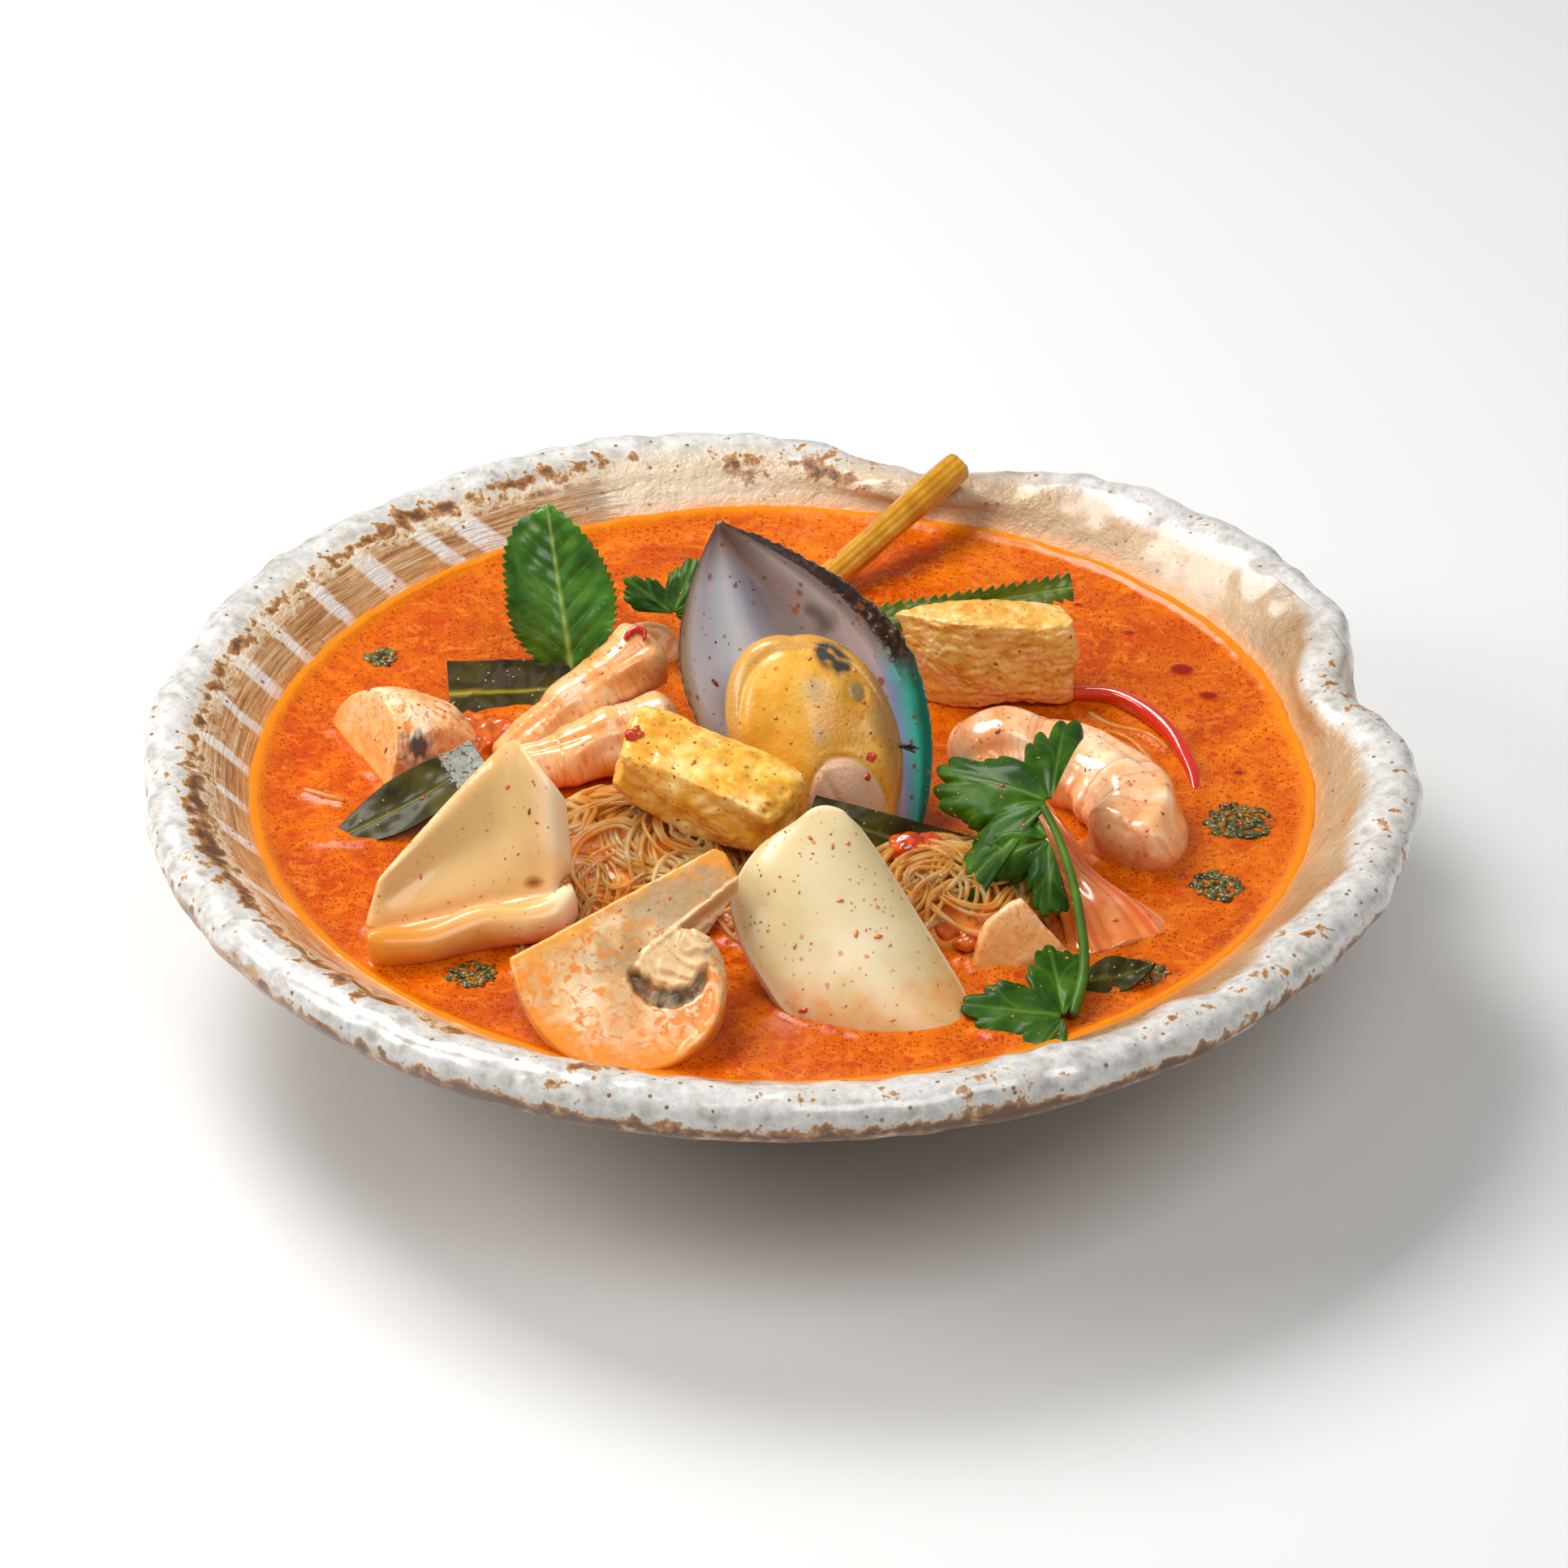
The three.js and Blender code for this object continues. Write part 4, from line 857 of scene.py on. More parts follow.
def prawn_form(neck, tail, seed):
    """A prawn's body: each ring swells and then dips a little under the next, and the belly side is
    flatter."""

    def radius(share):
        body = neck + (tail - neck) * share**1.3
        ends = (
            math.sqrt(max(0.02, 1 - max(0, 1 - share / 0.1) ** 2))
            * math.sqrt(max(0.02, 1 - max(0, share / 0.07 - 13.3) ** 2))
        )
        return body * ends

    def shape(share, angle, out, top, side, r):
        belly = max(0, -cos(angle)) ** 2
        slanted = share * RINGS + 0.12 * cos(angle) + 0.1 * noise.noise(out * 1.3 + Vector((seed, 0, 0)))
        step = slanted % 1
        ring = 0.025 * (step - 0.5) - 0.035 * mark(min(step, 1 - step), 0.09)
        groove = 0.07 * (
            mark(1 - cos(angle - 0.5 - share), 0.015) + mark(1 - cos(angle + 0.7 - 0.5 * share), 0.01)
        )
        muscle = 0.2 * noise.noise(Vector((out.x * 1.4, share * 5 + seed, out.z * 1.4)))
        muscle += 0.02 * noise.noise(Vector((out.x * 4, share * 16 + seed, out.z * 4)))
        fibre = 0.006 * noise.noise(Vector((share * 50, cos(angle) * 2, seed)))
        return out * r * (-0.18 * belly - groove + ring + muscle + fibre)

    return radius, shape


def prawn_skin(name, colours, line_colour):
    """Cooked prawn: soft patches, with coral lines where the rings join and faint fibres round the body."""
    made, tree, shader, _, colour = wet_food(
        name, colours, 8, wetness=0.8, gloss=0.24, broth=0.25, glow=0.35, grain_mm=2.5, grain=0.2
    )
    along = add(tree, "Attribute", out="Fac", attribute_name="along")
    tilt = add(tree, "Attribute", out="Fac", attribute_name="round")
    bent = add(tree, "Math", {0: tilt, 1: 0.12 / RINGS, 2: along}, operation="MULTIPLY_ADD")
    rings_at = add(tree, "Math", {0: bent, 1: float(RINGS)}, operation="MULTIPLY")
    ring_share = add(tree, "Math", {0: rings_at, 1: 0.5}, operation="PINGPONG")
    stretched = add(tree, "Math", {0: along, 1: 34.0}, operation="MULTIPLY")
    fibre_place = add(tree, "CombineXYZ", {"X": stretched, "Y": tilt})
    fibres = add(tree, "TexNoise", {"Vector": fibre_place, "Scale": 1.0, "Detail": 4.0, "Distortion": 0.6})
    jagged = add(tree, "Math", {0: fibres, 1: 0.09, 2: ring_share}, operation="MULTIPLY_ADD")
    joint = add(tree, "MapRange", {"Value": jagged, "From Min": 0.08, "From Max": 0.04, "To Max": 0.4})
    jointed = add(tree, "Mix", {"Factor": joint, 6: colour, 7: linear(line_colour)}, out=2, data_type="RGBA")
    thread = add(tree, "MapRange", {"Value": fibres, "From Min": 0.54, "From Max": 0.66, "To Max": 0.5})
    lined = add(tree, "Mix", {"Factor": thread, 6: jointed, 7: linear(line_colour)}, out=2, data_type="RGBA")
    tree.links.new(lined, shader.inputs["Base Color"])
    return made


peach_prawn = prawn_skin("peach_prawn_flesh", ["#ec9e52", "#f3b676", "#f9d0a2"], "#df701c")
coral_prawn = prawn_skin("coral_prawn_flesh", ["#f0a062", "#f7be88", "#fcdcb4"], "#e4682c")


def prawn(name, nodes, points, neck, tail, skin, seed):
    """A peeled prawn bent along its points. neck and tail are its half widths there."""
    radius, shape = prawn_form(neck, tail, seed)
    finish(tube(points, radius, 64, 190, shape=shape), name, nodes, [skin])


prawn(
    "prawn_left_upper", ["prawn_left"],
    [(-24.5, 20.3, 60.5), (-33.5, 14.5, 56), (-42, 9, 51.5), (-50, 4, 47), (-54, 1, 44)], 7.2, 4.6,
    peach_prawn, 1
)
prawn(
    "prawn_left_lower", [], [(-20, 8, 51), (-31, 4, 49), (-41, 1, 47), (-50, -1, 44.5), (-55, -2, 42.5)], 7.4,
    5.0, peach_prawn, 2
)
prawn(
    "prawn_right_body", ["prawn_right"],
    [(33, -1.5, 43.5), (43, 2, 45), (54, -1, 45.5), (63, -9, 45), (67, -20, 44.5), (62, -29.5, 43.5)], 10.2,
    8.9, coral_prawn, 3
)


def tail_form(share, angle, out, top, side, r):
    """The tail flattens and fans out towards its end, ridged lengthwise."""
    fan = smooth(share, 0.6, 1)
    ridges = 0.05 * r * cos(9 * angle) * smooth(share, 0.1, 0.3)
    return side * sin(angle) * r * 0.5 * fan - top * cos(angle) * r * (0.25 + 0.45 * fan) + out * ridges


tail_bm = tube(
    [(44, -16, 44), (48, -27, 44.5), (53, -38, 43.5), (59, -48, 42.5), (63, -56, 41)],
    lambda share: 7.2 - 2.8 * sin(pi * min(1, share * 1.1)) ** 2 * share, 72, 90, shape=tail_form
)


def streaked(tree, shader, colour, scale, high, most, line_colour):
    """Runs lines of another colour lengthwise along a tube."""
    tilt = add(tree, "Attribute", out="Fac", attribute_name="round")
    streaks = add(tree, "TexNoise", {"W": tilt, "Scale": scale, "Detail": 3.0}, noise_dimensions="1D")
    streak = add(tree, "MapRange", {"Value": streaks, "From Min": 0.42, "From Max": high, "To Max": most})
    lined = add(tree, "Mix", {"Factor": streak, 6: colour, 7: linear(line_colour)}, out=2, data_type="RGBA")
    tree.links.new(lined, shader.inputs["Base Color"])


tail_skin, tree, shader, _, colour = wet_food(
    "prawn_tail_skin", ["#e26a30", "#ea9056", "#f2b282"], 5, wetness=0.9, gloss=0.18, broth=0.3, glow=0.3,
    grain=0.1
)
streaked(tree, shader, colour, 9.0, 0.62, 0.8, "#dd5a2a")
finish(tail_bm, "prawn_right_tail", ["prawn_tail"], [tail_skin])


# Mushrooms: closed-cap button mushrooms. One thin slice lies at the front with its stem, dark gills and the
# folded veil over them; a half cap floats on the left and a quarter on the right. The cut flesh is stained by
# the broth.
def bezier(points, count):
    """Points along one cubic curve, without its last."""
    a, b, c, d = (Vector((*p, 0)) for p in points)
    shares = [i / count for i in range(count)]
    return [a * (1 - t) ** 3 + b * 3 * t * (1 - t) ** 2 + c * 3 * t * t * (1 - t) + d * t**3 for t in shares]


def remeshed(bm, cell):
    """The same solid with even cells all over, so that it can be worked like clay."""
    mesh = bpy.data.meshes.new("scratch")
    bm.to_mesh(mesh)
    bm.free()
    holder = bpy.data.objects.new("scratch", mesh)
    bpy.context.scene.collection.objects.link(holder)
    worked = holder.modifiers.new("remesh", "REMESH")
    worked.mode = "VOXEL"
    worked.voxel_size = cell
    done = bpy.data.meshes.new_from_object(holder.evaluated_get(bpy.context.evaluated_depsgraph_get()))
    bpy.data.objects.remove(holder)
    fresh = bmesh.new()
    fresh.from_mesh(done)
    return fresh


slice_bm = bmesh.new()
outline = [
    Vector((-21, 7, 0)), Vector((15.5, 28.4, 0)), Vector((17.5, 27.5, 0)), Vector((20, 22, 0)),
    Vector((2.5, 7, 0))
]
outline += bezier([(2.5, 7), (6, 10.5), (9, 13), (12, 12.5)], 6)[1:]
outline += bezier([(12, 12.5), (17, 11), (19, 4), (17.4, -3)], 10)
outline += bezier([(17.4, -3), (14.5, -12), (7, -15.5), (-1, -15)], 12)
outline += bezier([(-1, -15), (-12, -14), (-19, -4), (-21, 7)], 14)
slice_face = slice_bm.faces.new([slice_bm.verts.new(p) for p in outline])
raised = bmesh.ops.extrude_face_region(slice_bm, geom=[slice_face])["geom"]
bmesh.ops.translate(slice_bm, vec=(0, 0, 5), verts=[v for v in raised if isinstance(v, bmesh.types.BMVert)])
bmesh.ops.recalc_face_normals(slice_bm, faces=slice_bm.faces)
slice_bm = remeshed(slice_bm, 0.36)


def in_gills(p):
    """How deep in the crescent of gills a place on the cut face is: inside one circle and outside the
    veil's."""
    ragged = 0.5 * noise.noise(Vector((p.x / 1.6, p.y / 1.6, 2)))
    return (
        smooth(7.7 + ragged - hypot(p.x - 7.4, p.y - 4.5), 0, 1.2) * (1 - in_veil(p))
        * smooth(5.6 - p.y, 0, 2)
    )


def in_veil(p):
    """How far a place lies on the folded veil, which hangs from the stem down to the gills and the cap's
    edge."""
    ragged = 0.9 * noise.noise(Vector((p.x / 2, p.y / 2, 7)))
    above = max(0, p.y - 7.2)
    inside = smooth(6.6 + ragged - hypot(p.x - 8.0 - 0.5 * above, min(0, p.y - 7.2)), 0, 0.9)
    return inside * smooth(p.x * 0.85 - p.y + 6.2, 0, 0.8)


relax(slice_bm, 4)
for name in ("gills", "veil", "stem", "peel", "heart", "stain", "streak"):
    slice_bm.verts.layers.float.new(name)
gills_at, veil_at, stem_at, peel_at, heart_at, stain_at, streak_at = slice_bm.verts.layers.float.values()
for v in slice_bm.verts:
    p = v.co
    face = smooth(p.z, 2.5, 4.5)
    gills, veil = in_gills(p), in_veil(p)
    lamella = noise.noise(Vector((12 * math.atan2(p.y - 4.4, p.x - 7.4), 0, 1)))
    fold_at = hypot(p.x - 14, p.y - 12) + 2.4 * noise.noise(Vector((p.x / 4, p.y / 4, 4)))
    fold = (fold_at / 2.6) % 1
    layered = 0.8 * fold - 0.8 * smooth(fold, 0.8, 1)
    marbling = noise.noise(Vector((p.x / 3 + noise.noise(p / 2), p.y / 3, 9)))
    v[gills_at] = gills * face * (0.85 + 0.25 * lamella + 0.3 * noise.noise(p / 1.5))
    v[veil_at] = veil * face
    v[stem_at] = smooth(p.x * 0.5 + p.y * 0.87, 9, 17) * face
    v[peel_at] = smooth(p.y - 0.586 * p.x - 19.3 + 2.5 * noise.noise(p / 3), -3.4, -0.8)
    v[heart_at] = mark(hypot((p.x + 1) / 10, (p.y - 7) / 6), 1) * face * (0.75 + 0.8 * marbling)
    v[stain_at] = (smooth(hypot(p.x - 4, p.y - 8), 15, 24) + 0.9 * marbling) * face
    v[streak_at] = veil * face * mark(fold - 0.9, 0.1) * smooth(noise.noise(p / 1.5), -0.1, 0.3)
    rolled = mark(hypot(p.x - 4.5, p.y + 0.5) - 12.2, 1.4) * smooth(p.x, 8, 12) * smooth(13 - p.y, 0, 2)
    stem_edge = mark(p.y - 0.86 * p.x - 4.9, 0.5) * smooth(p.x, 2, 4)
    grain = noise.noise(p / 2.2) * 0.2 + noise.noise(p / 7) * 0.4
    p.z += face * (
        grain - gills * (1.2 - 0.25 * lamella) + veil * (0.1 + layered) + 1.3 * rolled + 0.35 * stem_edge
    )
lay(slice_bm, (-28, -80, 46.5), (33, 0, 0))


def mushroom_skin(name, colours):
    """Cut mushroom: pale flesh with orange spots and rings where the broth dried on it."""
    made, tree, shader, place, colour = wet_food(
        name, colours, 9, wetness=0.3, gloss=0.4, broth=0.35, grain=0.4
    )
    stain = add(tree, "TexNoise", {"Vector": place, "Scale": 1000 / 2.6, "Detail": 2.0, "Distortion": 1.6})
    spread = add(tree, "TexNoise", {"Vector": place, "Scale": 1000 / 14, "Detail": 1.0})
    both = add(tree, "Math", {0: spread, 1: 0.35, 2: stain}, operation="MULTIPLY_ADD")
    ringed = add(tree, "MapRange", {"Value": both, "From Min": 0.7, "From Max": 0.8, "To Max": 0.85})
    stained = add(tree, "Mix", {"Factor": ringed, 6: colour, 7: linear("#e27c14")}, out=2, data_type="RGBA")
    tree.links.new(stained, shader.inputs["Base Color"])
    return made, tree, shader, stained


slice_flesh, tree, shader, colour = mushroom_skin("mushroom_slice_flesh", ["#cb9a5a", "#e2be8a", "#f2dcb8"])
blend_by(
    tree, shader, colour,
    [
        ("heart", "#8d7852", 0.2, 1.4), ("stem", "#ac8a5c", 0.1, 1.2), ("stain", "#e58a20", 0.15, 1.0),
        ("peel", "#e39a2c", 0.1, 1.2), ("veil", "#e9c893", 0.1, 1.3), ("streak", "#dd6a1e", 0.2, 1.2),
        ("gills", "#48341f", 0.1, 1.0)
    ]
)
finish(slice_bm, "mushroom_front_slice", ["mushroom_slice"], [slice_flesh])


def bell(p, middle, width):
    """1 at a place in a piece, falling softly away from it on all sides."""
    return math.exp(-((p - Vector(middle)).length_squared) / (2 * width * width))


def facing(turn, tilt):
    """The way that a knife cut faces, tilted from level and then turned round the middle."""
    return Euler((radians(tilt), 0, radians(turn)), "XYZ").to_matrix() @ Vector((0, 0, 1))


def wedge(name, node, width, depth, height, cuts, at, seed, skin, gills=(0, 0, -50)):
    """A mushroom cap less what flat knife cuts take off it. gills is the place where its gills show in the
    cut."""
    bm = bmesh.new()
    bmesh.ops.create_uvsphere(bm, u_segments=72, v_segments=48, radius=1)
    for v in bm.verts:
        crown = 1 if v.co.z > 0 else 0.55
        v.co = Vector((v.co.x * width, v.co.y * depth, v.co.z * height * crown))
    for away, turn, tilt in cuts:
        normal = facing(turn, tilt)
        geom = [*bm.verts, *bm.edges, *bm.faces]
        cut = bmesh.ops.bisect_plane(bm, geom=geom, plane_co=normal * away, plane_no=normal, clear_outer=True)
        rim = [e for e in cut["geom_cut"] if isinstance(e, bmesh.types.BMEdge)]
        bmesh.ops.contextual_create(bm, geom=rim)
    bm = remeshed(bm, 0.42)
    relax(bm, 3)
    away, turn, tilt = cuts[0]
    first = facing(turn, tilt)
    record(bm, "cut", lambda p: smooth(p.dot(first), away - 1.2, away - 0.4))
    record(
        bm, "gills",
        lambda p: bell(p, gills, 2.9) * (1 + 1.5 * noise.noise(Vector((p.x * 1.2, p.y * 0.4, p.z * 0.4))))
    )
    for v in bm.verts:
        v.co += (
            v.co.normalized()
            * (0.5 * noise.noise(v.co / 5 + Vector((seed, 0, 0))) + 0.15 * noise.noise(v.co / 1.5))
        )
    lay(bm, at)
    finish(bm, name, [node], [skin])


cap_flesh, tree, shader, colour = mushroom_skin("mushroom_cap_flesh", ["#e9a054", "#f5ca98", "#fbe6ca"])
blend_by(tree, shader, colour, [("cut", "#eda24c", 0.1, 1.6), ("gills", "#625d5a", 0.3, 1.0)])
wedge(
    "mushroom_left_half", "mushroom_left", 18, 14, 13, [(5.5, -62, 68), (12, 35, 80)], (-77, 10, 41.5), 2,
    cap_flesh, (7.1, -9.2, 7.5)
)
wedge(
    "mushroom_right_quarter", "mushroom_right", 12, 12, 14, [(4, 0, 62), (6, 120, 60)], (46, -60, 40), 5,
    cap_flesh
)
wedge("mushroom_back_bit", "mushroom_back", 7.5, 6, 5.5, [(3.5, 20, 50)], (-28, 46, 43.5), 8, cap_flesh)


# Lemongrass: a length of the stalk leaning on the back of the bowl, its golden sheaths wrapped round each
# other, lined lengthwise and cut square.
def stalk_form(share, angle, out, top, side, r):
    """Shallow ribs, and the edge of a sheath that winds a third of the way round the stalk."""
    sheath = 0.3 * smooth(cos(angle - 1 - 2 * share), 0.9, 0.95)
    return out * (0.14 * sin(5 * angle + 2 * share) + 0.08 * sin(13 * angle) - sheath)


stalk_points = [(-5, 54, 40.5), (11, 72.5, 46), (25, 88.5, 50.8), (36.6, 101.7, 54.8)]
stalk_bm = tube(stalk_points, lambda s: 3.15 + 0.2 * sin(9 * s), 60, 90, shape=stalk_form)
stalk, tree, shader, _, colour = wet_food(
    "lemongrass_stalk", ["#b9780a", "#d08f18", "#e3aa3a"], 6, wetness=0.7, gloss=0.2, broth=0.05, grain=0.12
)
streaked(tree, shader, colour, 14.0, 0.66, 0.55, "#b5820f")
finish(stalk_bm, "lemongrass_stalk", ["lemongrass"], [stalk])

# Tomato and chilli: soft crushed flesh in wet lumps, and one long strip of red chilli that lies in an arc.
crushed, *_ = wet_food(
    "crushed_tomato_chilli", ["#9c2408", "#cc3f10", "#e56a22"], 2.5, wetness=0.9, gloss=0.15, glow=0.2
)


def crushed_lumps(name, nodes, lumps, at, seed):
    """A few ragged lumps that run together, each as its place and its half width."""
    bm = bmesh.new()
    for x, y, z, r in lumps:
        made = bmesh.ops.create_icosphere(bm, subdivisions=4, radius=r)["verts"]
        for v in made:
            ragged = noise.noise(v.co / 1.8 + Vector((seed, x, y)))
            v.co = Vector((v.co.x * 1.15, v.co.y, v.co.z * 0.85)) * (1 + 0.28 * ragged) + Vector((x, y, z))
    lay(bm, at)
    finish(bm, name, nodes, [crushed])


crushed_lumps(
    "tomato_crushed_left", ["tomato_left"], [(0, 0, 0, 5), (5, 4, 0, 4), (-2, 6, -0.5, 4.2)], (-60, 13, 42), 1
)
crushed_lumps(
    "tomato_crushed_middle", ["tomato_middle"], [(0, 0, 0, 3.6), (3.5, 1.5, 0, 2.8)], (23, -36, 50), 3
)
crushed_lumps(
    "chilli_paste_right", [], [(0, 0, 0, 2.4), (3.5, -3, -0.8, 2.1), (-3, 3, 0.6, 1.9), (1, 4, 0.8, 1.6)],
    (30, -54.5, 45), 6
)
strip_bm = tube(
    [(57, 30, 43), (66, 27, 44), (74, 17, 44), (78.5, 4, 43), (79.5, -6, 41)], lambda s: 1.9 - 0.9 * s, 20,
    80, shape=lambda s, a, out, top, side, r: out * r * 0.15 * sin(2 * a + 6 * s)
)
red_chilli, tree, shader, _, colour = wet_food(
    "red_chilli_skin", ["#c3210a", "#dd3a12", "#ea5a24"], 4, wetness=1.0, gloss=0.1, glow=0.1, grain=0.05
)
blend_by(tree, shader, colour, [("along", "#cc260c", -1.0, 0.4)])
finish(strip_bm, "chilli_long_strip", ["chilli_strip"], [red_chilli])


# Leaves: thin blades with sawn edges, a sunken midrib and side veins that run forward to the edge. The sweet
# saw-edged leaf stands up behind the prawn, a spiny strip of long coriander lies behind the tofu, and lime
# leaves, boiled dark, float or lean between the pieces.
def leaf_green(name, colours, vein_colour, shine, glow, gloss=0.3, droplet="#b9b48c"):
    """Leaf skin: greens that drift over a few millimetres, paler along the veins, with tiny drops of oil on
    it."""
    made, tree, shader, place = new_material(name)
    drift = add(tree, "TexNoise", {"Vector": place, "Scale": 1000 / 7, "Detail": 5.0, "Distortion": 0.5})
    steps = [(0.32 + 0.36 * i / (len(colours) - 1), colour) for i, colour in enumerate(colours)]
    green = add(tree, "ValToRGB", {"Fac": drift}, stops=steps)
    vein = add(tree, "Attribute", out="Fac", attribute_name="vein")
    veined = add(tree, "Mix", {"Factor": vein, 6: green, 7: linear(vein_colour)}, out=2, data_type="RGBA")
    # Where a leaf lies in the window's reflection its wet skin looks silver, speckled by the drops on it.
    glare = add(tree, "Attribute", out="Fac", attribute_name="glare")
    fine = add(tree, "TexNoise", {"Vector": place, "Scale": 1000 / 0.8, "Detail": 2.0})
    torn = add(tree, "Math", {0: fine, 1: 1.5, 2: glare}, operation="MULTIPLY_ADD")
    bright = add(tree, "MapRange", {"Value": torn, "From Min": 1.12, "From Max": 1.26})
    glared = add(tree, "Mix", {"Factor": bright, 6: veined, 7: linear("#8b8c82")}, out=2, data_type="RGBA")
    droplets = add(tree, "TexVoronoi", {"Vector": place, "Scale": 1000 / 1.2}, out=None)
    tiny = add(tree, "MapRange", {"Value": droplets.outputs["Distance"], "From Min": 0.2, "From Max": 0.1})
    chance = add(tree, "SeparateColor", {"Color": droplets.outputs["Color"]}, out=1)
    rare = add(tree, "Math", {0: chance, 1: 0.78}, operation="GREATER_THAN")
    fleck = add(tree, "Math", {0: tiny, 1: rare}, operation="MULTIPLY")
    flecked = add(tree, "Mix", {"Factor": fleck, 6: glared, 7: linear(droplet)}, out=2, data_type="RGBA")
    tree.links.new(flecked, shader.inputs["Base Color"])
    bump = add(tree, "Bump", {"Height": fine, "Strength": 0.2, "Distance": 0.0002})
    tree.links.new(bump, shader.inputs["Normal"])
    shader.inputs["Roughness"].default_value = gloss
    shader.inputs["Specular IOR Level"].default_value = shine
    shader.inputs["Coat Weight"].default_value = shine
    shader.inputs["Coat Roughness"].default_value = 0.15
    shader.inputs["Subsurface Weight"].default_value = glow
    shader.inputs["Subsurface Radius"].default_value = (0.001, 0.0015, 0.0005)
    shader.inputs["Subsurface Scale"].default_value = 1.0
    return made


fresh_green = leaf_green(
    "fresh_leaf_skin", ["#245408", "#3a7412", "#5a8c24"], "#8fae4e", 0.35, 0.15, 0.32, "#6fa052"
)
herb_green = leaf_green("long_coriander_skin", ["#34520a", "#506e10", "#74861c"], "#8d9a3c", 0.3, 0.1, 0.35)
boiled_green = leaf_green(
    "boiled_lime_leaf_skin", ["#262206", "#38320a", "#4c4612"], "#5c5912", 0.12, 0.0, 0.4
)
midrib_green = leaf_green(
    "lime_leaf_with_pale_rib", ["#262206", "#38320a", "#4c4612"], "#9a8a1e", 0.12, 0.0, 0.4
)
LEAF_THICK = 0.5


def leaf(
    name, node, skin, length, half, at, turn, teeth=(0, 1), bend=0.0, curl=0.3, wave=0.4,
    vein_gap=4.0, vein_strength=0.3, puff=0.22, fuller=0, silver=2.0,
):
    """One blade from its foot to its tip. half gives half its width by the share of its length, teeth the
    size and the count of its saw teeth, and from silver on it lies in the window's reflection."""
    bm = bmesh.new()
    bmesh.ops.create_grid(bm, x_segments=56, y_segments=160, size=1)
    vein_layer = bm.verts.layers.float.new("vein")
    glare_layer = bm.verts.layers.float.new("glare")
    tooth_size, tooth_count = teeth
    for v in bm.verts:
        side, share = v.co.x, (v.co.y + 1) / 2
        saw = (share * tooth_count + 0.06 * sin(40 * share)) % 1
        wide = half(share) + fuller * (side < 0) * smooth(share, 0.5, 0.88) * (1 - smooth(share, 0.93, 1))
        x = side * (wide + tooth_size * (saw - 0.3) * smooth(abs(side), 0.7, 1))
        midrib = mark(x, 0.6 - 0.35 * share)
        wander = 0.9 * noise.noise(Vector((x / 6, share * 3, length)))
        along = (share * length - abs(x) * 0.95 + 0.6 * side + wander) / vein_gap
        side_vein = mark((along - round(along)) * vein_gap, 0.22) * (1 - 0.8 * abs(side) ** 1.5)
        v[vein_layer] = max(midrib, vein_strength * side_vein)
        v[glare_layer] = 0.6 * smooth(share, silver, silver + 0.1)
        pillow = (0.5 - 0.5 * cos(2 * pi * along)) * (1 - abs(side) ** 3)
        z = bend * share * share + curl * x * x / 10 + wave * sin(7 * share + 2 * side)
        z += puff * pillow + 0.25 * noise.noise(Vector((x / 3, share * length / 3, len(name)))) - 0.2 * midrib
        v.co = Vector((x, share * length, z))
    thicken(bm, LEAF_THICK)
    lay(bm, at, turn)
    finish(bm, name, [node], [skin])


def leaf_width(widest, at):
    """Half the width of a whole leaf, round at its foot and pointed at its tip."""
    return lambda share: max(0.3, widest * sin(pi * share**at) ** 0.75)


def cut_width(foot, tip):
    """Half the width of a strip that was cut from a leaf."""
    return lambda share: foot + (tip - foot) * share


leaf(
    "saw_edged_basil_leaf", "basil_leaf", fresh_green, 34, leaf_width(10.5, 0.85), (-42, 33, 45.5),
    (66, 4, 8), teeth=(1.1, 21), bend=-3, wave=0.6, fuller=3
)
leaf(
    "long_coriander_strip", "culantro_strip", herb_green, 40, cut_width(2.6, 2.2), (19, 33, 58.5),
    (64, 10, -82), teeth=(1.3, 17), bend=-4, vein_gap=3, puff=0.1
)
leaf(
    "lime_leaf_back_left", "lime_leaf_back", midrib_green, 24, cut_width(6.8, 5.5),
    (-66, 27, 45), (34, 8, -84), bend=1.5, curl=0.25, vein_strength=0.05, puff=0.05
)
leaf(
    "lime_leaf_left_blade", "lime_leaf_left", boiled_green, 34,
    lambda share: 0.8 + 5.4 * sin(pi * min(0.72, share * 0.8)) ** 0.8, (-87, -21.5, 41.2), (18, -6, -62),
    bend=4, curl=0.2, vein_strength=0.05, puff=0.05, silver=0.74
)
leaf(
    "lime_leaf_strip", "lime_leaf_middle", boiled_green, 33, cut_width(3, 5), (5, -30, 55),
    (50, 0, -108), bend=-3, curl=0.2, vein_strength=0.05, puff=0.05
)
leaf(
    "lime_leaf_right_blade", "lime_leaf_right", boiled_green, 15, leaf_width(4.2, 0.9),
    (53, -69, 42.8), (8, 0, -72), bend=1, wave=0.5
)


